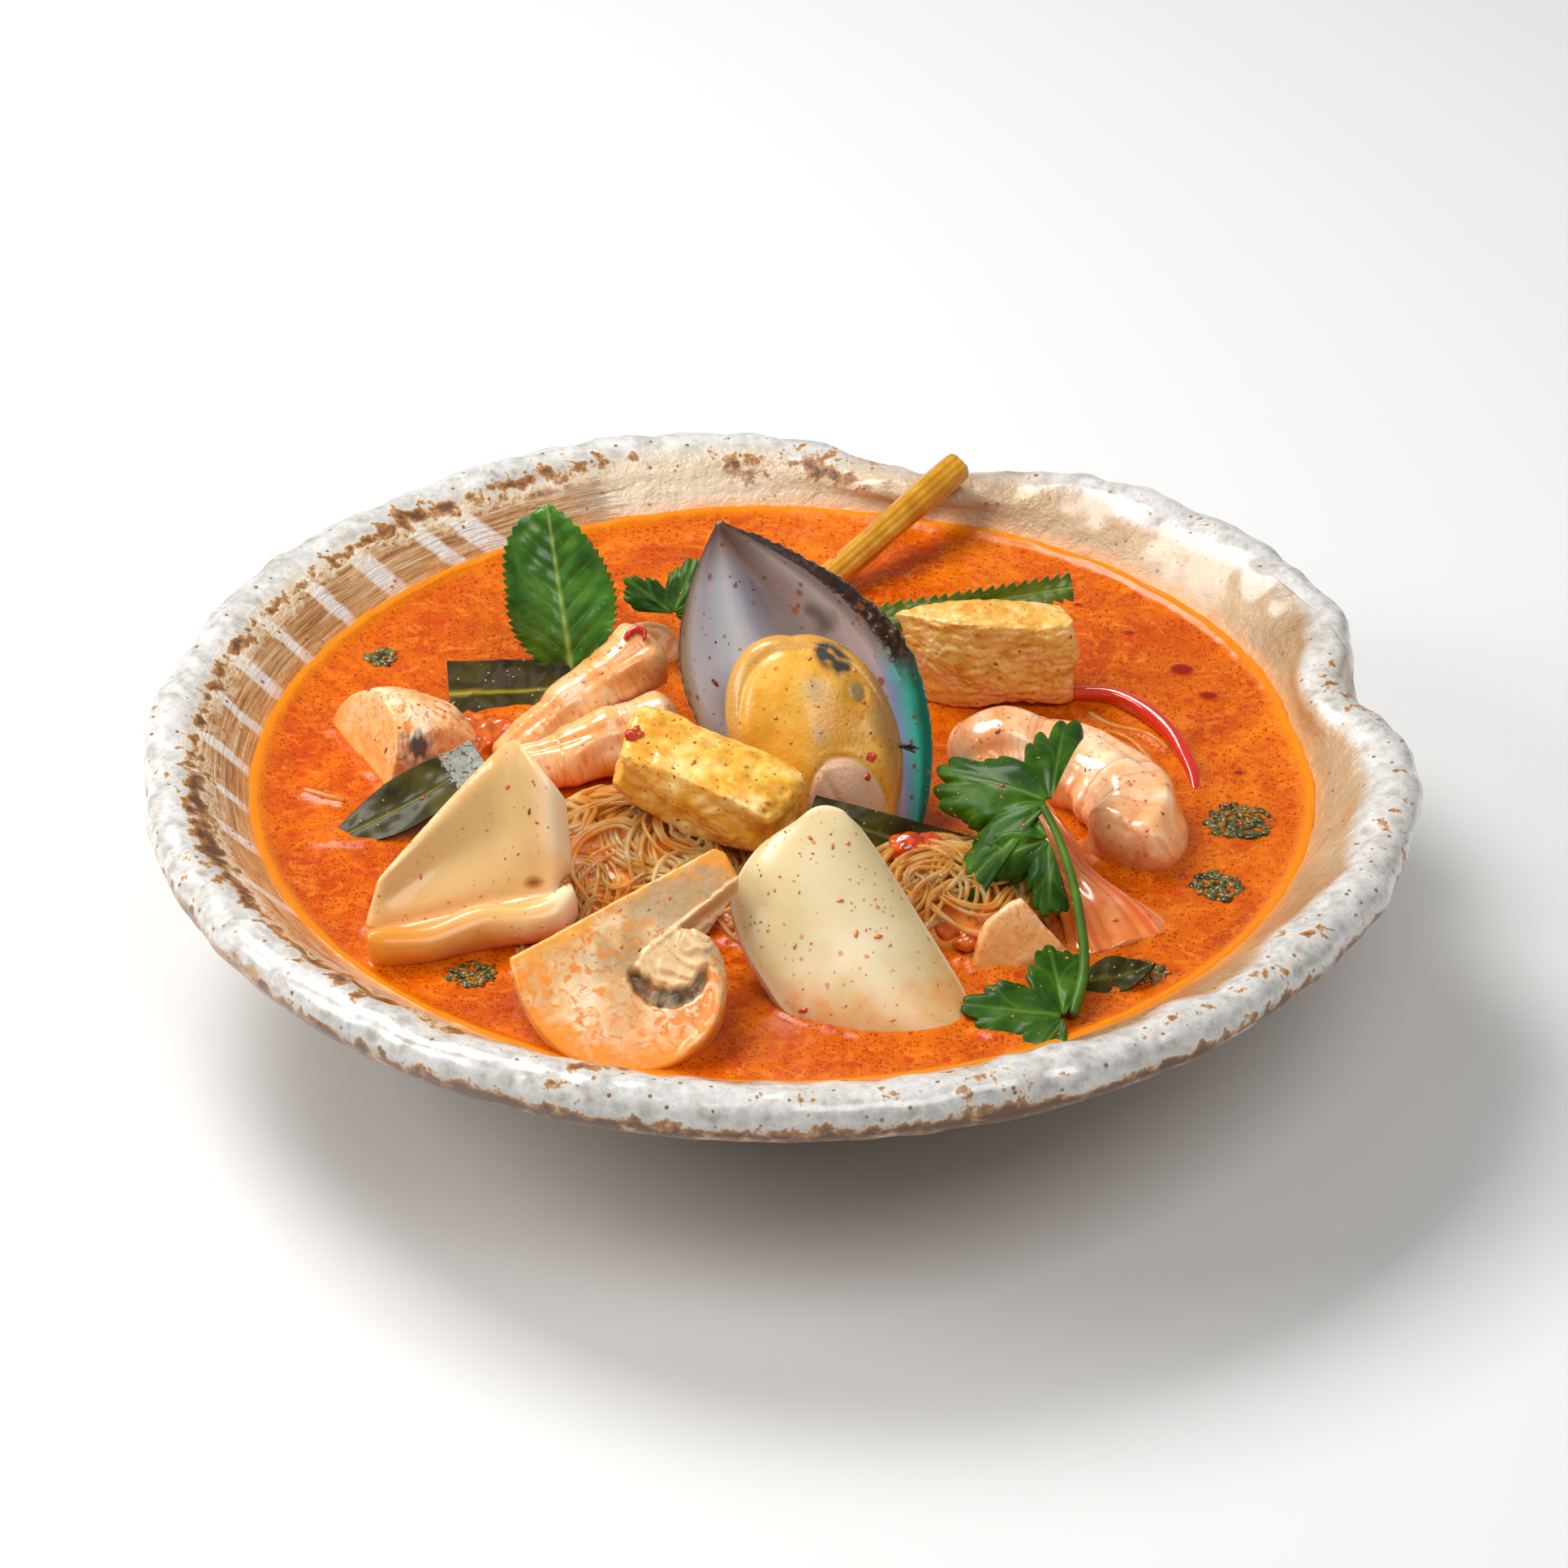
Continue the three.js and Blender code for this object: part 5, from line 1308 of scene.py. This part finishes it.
# Coriander: fans of three lobes, each lobe notched into small rounded teeth, on thin bent stalks. One sprig
# stands over the right prawn with its foot in the soup, and a loose leaf shows behind the mussel.
def coriander_fan(name, node, radius, spread, at, turn, droop, wave, seed):
    """One fan of three lobes from its foot, spread to each side by so many degrees."""
    bm = bmesh.new()
    bmesh.ops.create_grid(bm, x_segments=180, y_segments=30, size=1)
    vein_layer = bm.verts.layers.float.new("vein")
    for v in bm.verts:
        angle = v.co.x * radians(spread)
        share = 0.04 + 0.96 * (v.co.y + 1) / 2
        lobe = 0.78 + 0.2 * cos(4.8 * angle) - 0.22 * mark(abs(angle) - 0.66, 0.07)
        tooth = 0.7 * abs(sin(8 * angle + 0.5 * seed)) ** 0.6 + 0.45 * abs(sin(19 * angle + seed)) ** 0.7
        edge = lobe + 0.17 * (tooth - 0.7) * smooth(share, 0.5, 1)
        reach = radius * share * (1 + (edge - 1) * share * share)
        near = min(abs(angle - c) for c in (-1.25, 0, 1.25))
        main = mark(near * reach, 0.32)
        branch = mark(abs(near - 0.42 * smooth(share, 0.25, 1.2)) * reach, 0.25) * smooth(share, 0.3, 0.5)
        v[vein_layer] = max(0.6 * main, 0.3 * branch) * (1 - 0.6 * share)
        z = -droop * share * share + wave * share * sin(3 * angle)
        z += (
            0.5 * noise.noise(Vector((3 * angle, 3 * share, seed))) + share * 0.2 * cos(9.6 * angle + seed)
            - 0.15 * main
        )
        v.co = Vector((reach * sin(angle), reach * cos(angle), z))
    bmesh.ops.remove_doubles(bm, verts=bm.verts, dist=0.0005)
    thicken(bm, LEAF_THICK)
    lay(bm, at, turn)
    finish(bm, name, [node], [coriander_green])


coriander_green = leaf_green(
    "coriander_leaf_skin", ["#1a3c02", "#284e05", "#3f670d"], "#73923a", 0.12, 0.05, 0.42, "#3f670d"
)
coriander_fan("coriander_leaf_top", "coriander_top", 23, 82, (49, -37, 61.5), (24, 0, 62), 7, 1.5, 1)
coriander_fan("coriander_leaf_side", "coriander_side", 14, 88, (48.5, -44, 58), (30, 0, 108), 4, 1.2, 2)
coriander_fan("coriander_leaf_base", "coriander_base", 18, 105, (50, -81, 44.6), (14, 0, 78), 1, 1, 3)
coriander_fan("coriander_leaf_back", "coriander_back", 12, 105, (-22, 45, 52.5), (50, 0, -20), 2, 1, 4)
stem_bm = tube(
    [(51.5, -80, 43.6), (54, -70, 48), (53, -57, 54), (50.5, -46, 58.5), (47.5, -38, 61.5)],
    lambda s: 1.05 - 0.3 * s, 14, 90, up=(1, 0, 0)
)
record(stem_bm, "vein", lambda p: 0.25)
finish(stem_bm, "coriander_stalk", ["coriander_stem"], [coriander_green])

# Glass noodles: a tangle of clear bean-starch threads, in bundles that curl together, heaped between the
# pieces over a core of soaked noodle. Each mound is its middle, half its width and depth, and its height.
# BUNDLES is how many bundles lie over each.
MOUNDS = [(-27, -31, 21, 23, 11), (4, -42, 24, 14, 5), (30, -42, 20, 17, 8)]
BUNDLES = [58, 28, 40]


def heap_height(x, y):
    """How high the heap stands at a place."""
    over = 0
    for at_x, at_y, half_width, half_depth, high in MOUNDS:
        away = hypot((x - at_x) / half_width, (y - at_y) / half_depth)
        over = max(over, high * math.sqrt(max(0, 1 - away * away)))
    return SOUP_LEVEL + over


noodle_bm = bmesh.new()
for at_x, at_y, half_width, half_depth, high in MOUNDS:
    for v in bmesh.ops.create_uvsphere(noodle_bm, u_segments=64, v_segments=40, radius=1)["verts"]:
        z = v.co.z * (high - 1.2 if v.co.z > 0 else 3)
        rough = 0.7 * noise.noise(Vector((v.co.x * 9, v.co.y * 9, at_x)))
        v.co = Vector((
            at_x + v.co.x * (half_width - 1), at_y + v.co.y * (half_depth - 1), SOUP_LEVEL + z + rough
        ))
for face in noodle_bm.faces:
    face.material_index = 1
rng = random.Random(5)
scratch = bpy.data.meshes.new("one_strand")


def add_strand(bm, points, thick, around, along):
    """Lays one more strand of a half width among those of a heap."""
    strand_bm = tube(points, lambda s: thick, around, along)
    strand_bm.to_mesh(scratch)
    strand_bm.free()
    bm.from_mesh(scratch)


for (at_x, at_y, half_width, half_depth, high), bundles in zip(MOUNDS, BUNDLES):
    for bundle in range(bundles):
        away, where = math.sqrt(rng.uniform(0, 1)), rng.uniform(0, 2 * pi)
        x, y = at_x + half_width * away * cos(where), at_y + half_depth * away * sin(where)
        heading, bend, lift = rng.uniform(0, 2 * pi), rng.uniform(-0.55, 0.55), rng.uniform(-0.6, 2)
        thick = rng.choice((0.34, 0.42, 0.55))
        line = []
        for step in range(9):
            line.append((x, y, heading))
            heading += bend + rng.uniform(-0.2, 0.2)
            x += 3.3 * cos(heading)
            y += 3.3 * sin(heading)
        for thread in range(rng.randint(2, 6)):
            gap = rng.uniform(-3, 3)
            points = []
            for step, (x, y, way) in enumerate(line):
                side = gap * (1 + 0.7 * noise.noise(Vector((step / 3, thread * 7.3, bundle))))
                x, y = x - side * sin(way), y + side * cos(way)
                out = hypot((x - at_x) / half_width, (y - at_y) / half_depth)
                if out > 1.06:
                    x, y = at_x + (x - at_x) * 1.06 / out, at_y + (y - at_y) * 1.06 / out
                ends = -2.2 * abs(step / 4 - 1) ** 5
                wave = 0.6 * noise.noise(Vector((x / 4, y / 4, thread)))
                points.append((x, y, heap_height(x, y) + 0.6 + lift + wave + ends))
            add_strand(noodle_bm, points, thick, 5, 26)
# Bean starch boiled clear: the broth shows through each thread, and its skin catches the light.
glass_noodle, tree, shader, place = new_material("bean_starch_noodle")
murk = add(tree, "TexNoise", {"Vector": place, "Scale": 1000 / 5, "Detail": 3.0})
starch = add(tree, "ValToRGB", {"Fac": murk}, stops=[(0.35, "#ee8a26"), (0.5, "#f7ab50"), (0.65, "#fcd090")])
tree.links.new(starch, shader.inputs["Base Color"])
shader.inputs["Roughness"].default_value = 0.1
shader.inputs["IOR"].default_value = 1.36
shader.inputs["Transmission Weight"].default_value = 0.1
shader.inputs["Subsurface Weight"].default_value = 0.6
shader.inputs["Alpha"].default_value = 0.5
shader.inputs["Specular IOR Level"].default_value = 0.3
shader.inputs["Subsurface Radius"].default_value = (0.003, 0.0016, 0.0006)
shader.inputs["Subsurface Scale"].default_value = 1.0
shader.inputs["Coat Weight"].default_value = 0.3
soaked, *_ = wet_food(
    "soaked_noodle_core", ["#dc7a1c", "#ee9234", "#f8ae56"], 4, gloss=0.3, grain_mm=1.6, grain=0.9
)
finish(noodle_bm, "glass_noodle_tangle", ["glass_noodles"], [glass_noodle, soaked])

# A few single strands of noodle that strayed out of the heap onto the broth.
stray_bm = bmesh.new()
STRAYS = [
    [(-49, -57, 42.6), (-46.5, -63, 42.8), (-43, -69, 42.7), (-38.5, -75, 42.5)],
    [(-41, -50, 44), (-43.5, -55, 43.2), (-42, -60, 42.7), (-38, -61, 42.6)],
    [(-48.5, -53, 43), (-47.8, -58, 42.7), (-48.6, -64, 42.5)],
    [(58, 18, 42.6), (66, 15, 42.8), (70, 9, 42.7), (72, 3, 42.5)],
    [(60, 24, 42.5), (64, 19, 42.8), (71, 16, 42.6), (75, 10, 42.5)],
    [(-92, -4, 42.6), (-88, -6.5, 42.9), (-84, -8, 42.6)],
    [(22, -28, 51), (30, -33, 50.5), (38, -36, 48.5), (45, -41, 45.5)],
    [(20, -33, 50.8), (28, -38, 50.6), (36, -42, 48.8), (44, -50, 44.5)]
]
for points in STRAYS:
    add_strand(stray_bm, points, 0.55, 8, 40)
finish(stray_bm, "stray_noodle_strands", [], [glass_noodle])

# The soup: an orange broth of chilli oil and coconut milk, filled to just under the lip's slope. It climbs a
# little at the wall and at each piece, and carries cream clouds, chilli dust and drops of red oil.
SOUP_CELLS = 250
SOUP_EDGE = 103
# Each drop of oil is its place and its half width.
OIL_DROPS = [(79.5, 40.7, 2.4), (84.1, 30.8, 1.8), (70, 55, 1.1), (-70, 30, 1.2), (88, 3, 1.0), (60, 66, 0.9)]


def surfaces(left_out=()):
    """All that was built so far as one tree of faces to search, and the name of the piece that each face is
    of."""
    bm = bmesh.new()
    owners = []
    for name, piece in food.items():
        if name not in left_out:
            bm.from_mesh(piece.data)
            owners += [name] * (len(bm.faces) - len(owners))
    faces = BVHTree.FromBMesh(bm)
    bm.free()
    return faces, owners


standing = surfaces()[0]
soup_bm = bmesh.new()
bmesh.ops.create_grid(soup_bm, x_segments=SOUP_CELLS, y_segments=SOUP_CELLS, size=1)
edge_layer = soup_bm.verts.layers.float.new("edge")
near_layer = soup_bm.verts.layers.float.new("near")
oil_layer = soup_bm.verts.layers.float.new("oil")
for v in soup_bm.verts:
    x, y = v.co.x, v.co.y
    v.co = Vector((x * math.sqrt(1 - y * y / 2), y * math.sqrt(1 - x * x / 2), 0)) * SOUP_EDGE
    radius = hypot(v.co.x, v.co.y)
    v.co.z = SOUP_LEVEL
    v.co = hand_made(v.co)
    touching = standing.find_nearest((v.co + AXIS) * MM, 0.008)
    gap = touching[3] / MM if touching[0] else 8
    wall_gap = SOUP_RADIUS + 1 - radius
    ripple = 0.16 * noise.noise(v.co / 7) + 0.12 * noise.noise(v.co / 3)
    oil = max(smooth(d - hypot(v.co.x - x, (v.co.y - y) * 1.15), -0.5, 0.5) for x, y, d in OIL_DROPS)
    v[edge_layer] = math.exp(-max(0, wall_gap) / 3)
    v[near_layer] = math.exp(-gap / 2.2)
    v[oil_layer] = oil
    v.co.z += ripple + math.exp(-max(0, wall_gap) / 1.1) + 0.9 * math.exp(-gap) + 0.25 * oil
rim = [edge for edge in soup_bm.edges if edge.is_boundary]
for radius, z in ((82, 27.3), (50, 13.3)):
    lower = bmesh.ops.extrude_edge_only(soup_bm, edges=rim)["geom"]
    ring = [part for part in lower if isinstance(part, bmesh.types.BMVert)]
    rim = [part for part in lower if isinstance(part, bmesh.types.BMEdge)]
    for v in ring:
        away = (v.co - BOWL_MIDDLE).to_2d()
        v.co = (BOWL_MIDDLE.to_2d() + away.normalized() * radius).to_3d() + Vector((0, 0, z))
bmesh.ops.contextual_create(soup_bm, geom=rim)
bmesh.ops.recalc_face_normals(soup_bm, faces=soup_bm.faces)

# Broth: coconut cream in chilli oil. Orange with paler clouds of cream, red-brown dust of chilli all through
# it, small drops of red oil, and a line of clear yellow oil at the wall.
broth, tree, shader, place = new_material("chilli_coconut_broth")
cloud = add(
    tree, "TexNoise",
    {"Vector": place, "Scale": 1000 / 26, "Detail": 7.0, "Roughness": 0.66, "Distortion": 0.9}
)
clouded = add(
    tree, "ValToRGB", {"Fac": cloud},
    stops=[(0.32, "#ac3700"), (0.45, "#c04c00"), (0.56, "#d05f00"), (0.7, "#e27e0a")]
)
mottle = add(
    tree, "TexNoise", {"Vector": place, "Scale": 1000 / 5, "Detail": 6.0, "Roughness": 0.7, "Distortion": 1.4}
)
creamy = add(tree, "MapRange", {"Value": mottle, "From Min": 0.5, "From Max": 0.68, "To Max": 0.7})
creamed = add(tree, "Mix", {"Factor": creamy, 6: clouded, 7: linear("#e88420")}, out=2, data_type="RGBA")
near = add(tree, "Attribute", out="Fac", attribute_name="near")
near_share = add(tree, "Math", {0: near, 1: 0.45}, operation="MULTIPLY")
paler = add(tree, "Mix", {"Factor": near_share, 6: creamed, 7: linear("#dd7010")}, out=2, data_type="RGBA")
# Chilli dust: a fine pepper of dark specks, thicker in the redder parts, and a coarser one of red bits.
dusted = paler
for grain, most, colour in ((0.75, 0.32, "#7a2404"), (1.5, 0.58, "#a83408"), (3.4, 0.76, "#c03c0a")):
    cells = add(tree, "TexVoronoi", {"Vector": place, "Scale": 1000 / grain}, out=None)
    chance = add(tree, "SeparateColor", {"Color": cells.outputs["Color"]})
    thinned = add(tree, "Math", {0: cloud, 1: -0.9, 2: chance}, operation="MULTIPLY_ADD")
    chosen = add(tree, "Math", {0: thinned, 1: most - 0.45}, operation="GREATER_THAN")
    grown = add(tree, "MapRange", {"Value": cells.outputs["Distance"], "From Min": 0.36, "From Max": 0.2})
    here = add(tree, "Math", {0: grown, 1: chosen}, operation="MULTIPLY")
    shown = add(tree, "Math", {0: here, 1: 0.85}, operation="MULTIPLY")
    dusted = add(tree, "Mix", {"Factor": shown, 6: dusted, 7: linear(colour)}, out=2, data_type="RGBA")
edge = add(tree, "Attribute", out="Fac", attribute_name="edge")
oily_edge = add(tree, "MapRange", {"Value": edge, "From Min": 0.4, "From Max": 0.8, "To Max": 0.75})
edged = add(tree, "Mix", {"Factor": oily_edge, 6: dusted, 7: linear("#e8890e")}, out=2, data_type="RGBA")
oil = add(tree, "Attribute", out="Fac", attribute_name="oil")
oiled = add(tree, "Mix", {"Factor": oil, 6: edged, 7: linear("#8f1a02")}, out=2, data_type="RGBA")
tree.links.new(oiled, shader.inputs["Base Color"])
swirl = add(tree, "Bump", {"Height": mottle, "Strength": 0.2, "Distance": 0.0006})
tree.links.new(swirl, shader.inputs["Normal"])
shader.inputs["Roughness"].default_value = 0.15
shader.inputs["IOR"].default_value = 1.34
shader.inputs["Subsurface Weight"].default_value = 0.08
shader.inputs["Subsurface Radius"].default_value = (0.002, 0.001, 0.0005)
shader.inputs["Subsurface Scale"].default_value = 1.0
finish(soup_bm, "broth_surface", ["soup"], [broth])

# Herb flecks: torn bits of boiled coriander that float in five small rafts, dark green and brown. Each raft
# is its middle and half its width and depth.
HERB_RAFTS = [
    (-80.8, 45.6, 3, 3), (-56.8, -64.9, 4.5, 4), (86.4, -14.1, 6.5, 6), (80.8, -36.1, 4.8, 4.5),
    (66, -64, 4, 3.4)
]
raft_bm = bmesh.new()
tone_layer = raft_bm.verts.layers.float.new("tone")


def chip(bm, tone_layer, at, up, size, tone, flat=0.3):
    """Adds one small torn flake of 20 faces, lying on a surface."""
    made = bmesh.ops.create_icosphere(bm, subdivisions=1, radius=1)["verts"]
    turn = Vector(up).to_track_quat("Z", "Y").to_matrix() @ Matrix.Rotation(rng.uniform(0, 2 * pi), 3, "Z")
    long, wide = size * rng.uniform(0.8, 1.5), size * rng.uniform(0.45, 0.9)
    for v in made:
        torn = Vector((v.co.x * long, v.co.y * wide, v.co.z * size * flat)) * rng.uniform(0.75, 1.25)
        v.co = turn @ torn + Vector(at)
        v[tone_layer] = tone


def chip_skin(name, stops, gloss):
    """Wet chips, each of its own tone."""
    made, tree, shader, _ = new_material(name)
    tone = add(tree, "Attribute", out="Fac", attribute_name="tone")
    tree.links.new(add(tree, "ValToRGB", {"Fac": tone}, stops=stops), shader.inputs["Base Color"])
    shader.inputs["Roughness"].default_value = gloss
    shader.inputs["Coat Weight"].default_value = 0.6
    return made


for x, y, half_width, half_depth in HERB_RAFTS:
    for _ in range(round(20 * half_width)):
        turn, share = rng.uniform(0, 2 * pi), math.sqrt(rng.uniform(0, 1))
        at = (x + half_width * share * cos(turn), y + half_depth * share * sin(turn), SOUP_LEVEL + 0.1)
        tilt = (rng.uniform(-0.3, 0.3), rng.uniform(-0.3, 0.3), 1)
        chip(raft_bm, tone_layer, at, tilt, rng.uniform(0.4, 1.4), rng.uniform(0, 1), 0.2)
herb_tones = [(0.1, "#252f0e"), (0.4, "#4b571c"), (0.7, "#6f6a26"), (0.85, "#96661c"), (0.95, "#b8581a")]
boiled_herb = chip_skin("boiled_herb_flecks", herb_tones, 0.35)
finish(raft_bm, "floating_herb_flecks", ["soup"], [boiled_herb])

# Chilli flakes and ground spice: small torn red and orange bits that stuck to the pieces as the soup was
# ladled.
flake_bm = bmesh.new()
tone_layer = flake_bm.verts.layers.float.new("tone")
FLAKE_TRIES = 3000
# How many of the flakes that fall on a piece stay on it.
FLAKE_SHARES = {
    "mussel_shell_half": 0.9, "tofu_block_front": 1.0, "squid_curled_sheet": 0.55, "squid_slit_end": 0.6
}
standing, owners = surfaces(("broth_surface", "stoneware_bowl", "floating_herb_flecks"))


def on_food(place):
    """Where the line of sight through a place first meets the food, in millimetres."""
    aim = ((Vector(place) + AXIS) * MM - eye).normalized()
    return standing.ray_cast(eye, aim)[0] / MM - AXIS


# A curl of chilli lies on the upper left prawn, a round bead of its flesh on the front tofu, and red bits on
# the foot of the mussel.
curl_bm = tube(
    [(-2.4, -1, -0.6), (-1.4, 0.2, 0.3), (0, 0.6, 0.8), (1.4, 0, 0.6), (1.3, -1.4, -0.4)],
    lambda share: 0.8 * sin(pi * min(0.95, share + 0.1)) ** 0.5, 14, 40
)
bmesh.ops.translate(curl_bm, vec=on_food((-28.4, 18.1, 64)), verts=curl_bm.verts)
finish(curl_bm, "chilli_curl_on_prawn", [], [red_chilli])
bead_bm = bmesh.new()
for place, radius in (((-28.1, -15.3, 62), 1.8), ((16.3, -10.2, 54), 1.2), ((15.5, -13.9, 52), 1)):
    at = on_food(place) + Vector((0, 0.84, -0.54)) * radius * 0.5
    for v in bmesh.ops.create_icosphere(bead_bm, subdivisions=3, radius=radius)["verts"]:
        v.co = v.co * (1 + 0.4 * noise.noise((v.co + at) / 1.2)) + at
finish(bead_bm, "chilli_beads", [], [crushed])

for _ in range(FLAKE_TRIES):
    spread, turn = 92 * math.sqrt(rng.uniform(0, 1)), rng.uniform(0, 2 * pi)
    aim = Vector((spread * cos(turn), spread * sin(turn), rng.uniform(42, 70)))
    around, high = rng.uniform(0, 2 * pi), rng.uniform(0.25, 1.4)
    down = -Vector((cos(high) * cos(around), cos(high) * sin(around), sin(high)))
    hit, normal, face, _ = standing.ray_cast((aim - down * 120 + AXIS) * MM, down, 0.3)
    kept = rng.uniform(0, 1)
    size = rng.uniform(0.14, 0.36) if rng.uniform(0, 1) < 0.9 else rng.uniform(0.4, 0.8)
    if hit and kept < FLAKE_SHARES.get(owners[face], 0.5) and normal.z > -0.3:
        at = hit / MM - AXIS
        if at.z > SOUP_LEVEL + 1:
            chip(flake_bm, tone_layer, at + normal * size * 0.1, normal, size, rng.uniform(0, 1))
flake_tones = [(0.05, "#7a3410"), (0.2, "#c03c0e"), (0.45, "#df6212"), (0.75, "#ea8a26"), (0.95, "#c98a35")]
chilli_flake = chip_skin("ground_chilli_flakes", flake_tones, 0.3)
finish(flake_bm, "chilli_flakes", [], [chilli_flake])
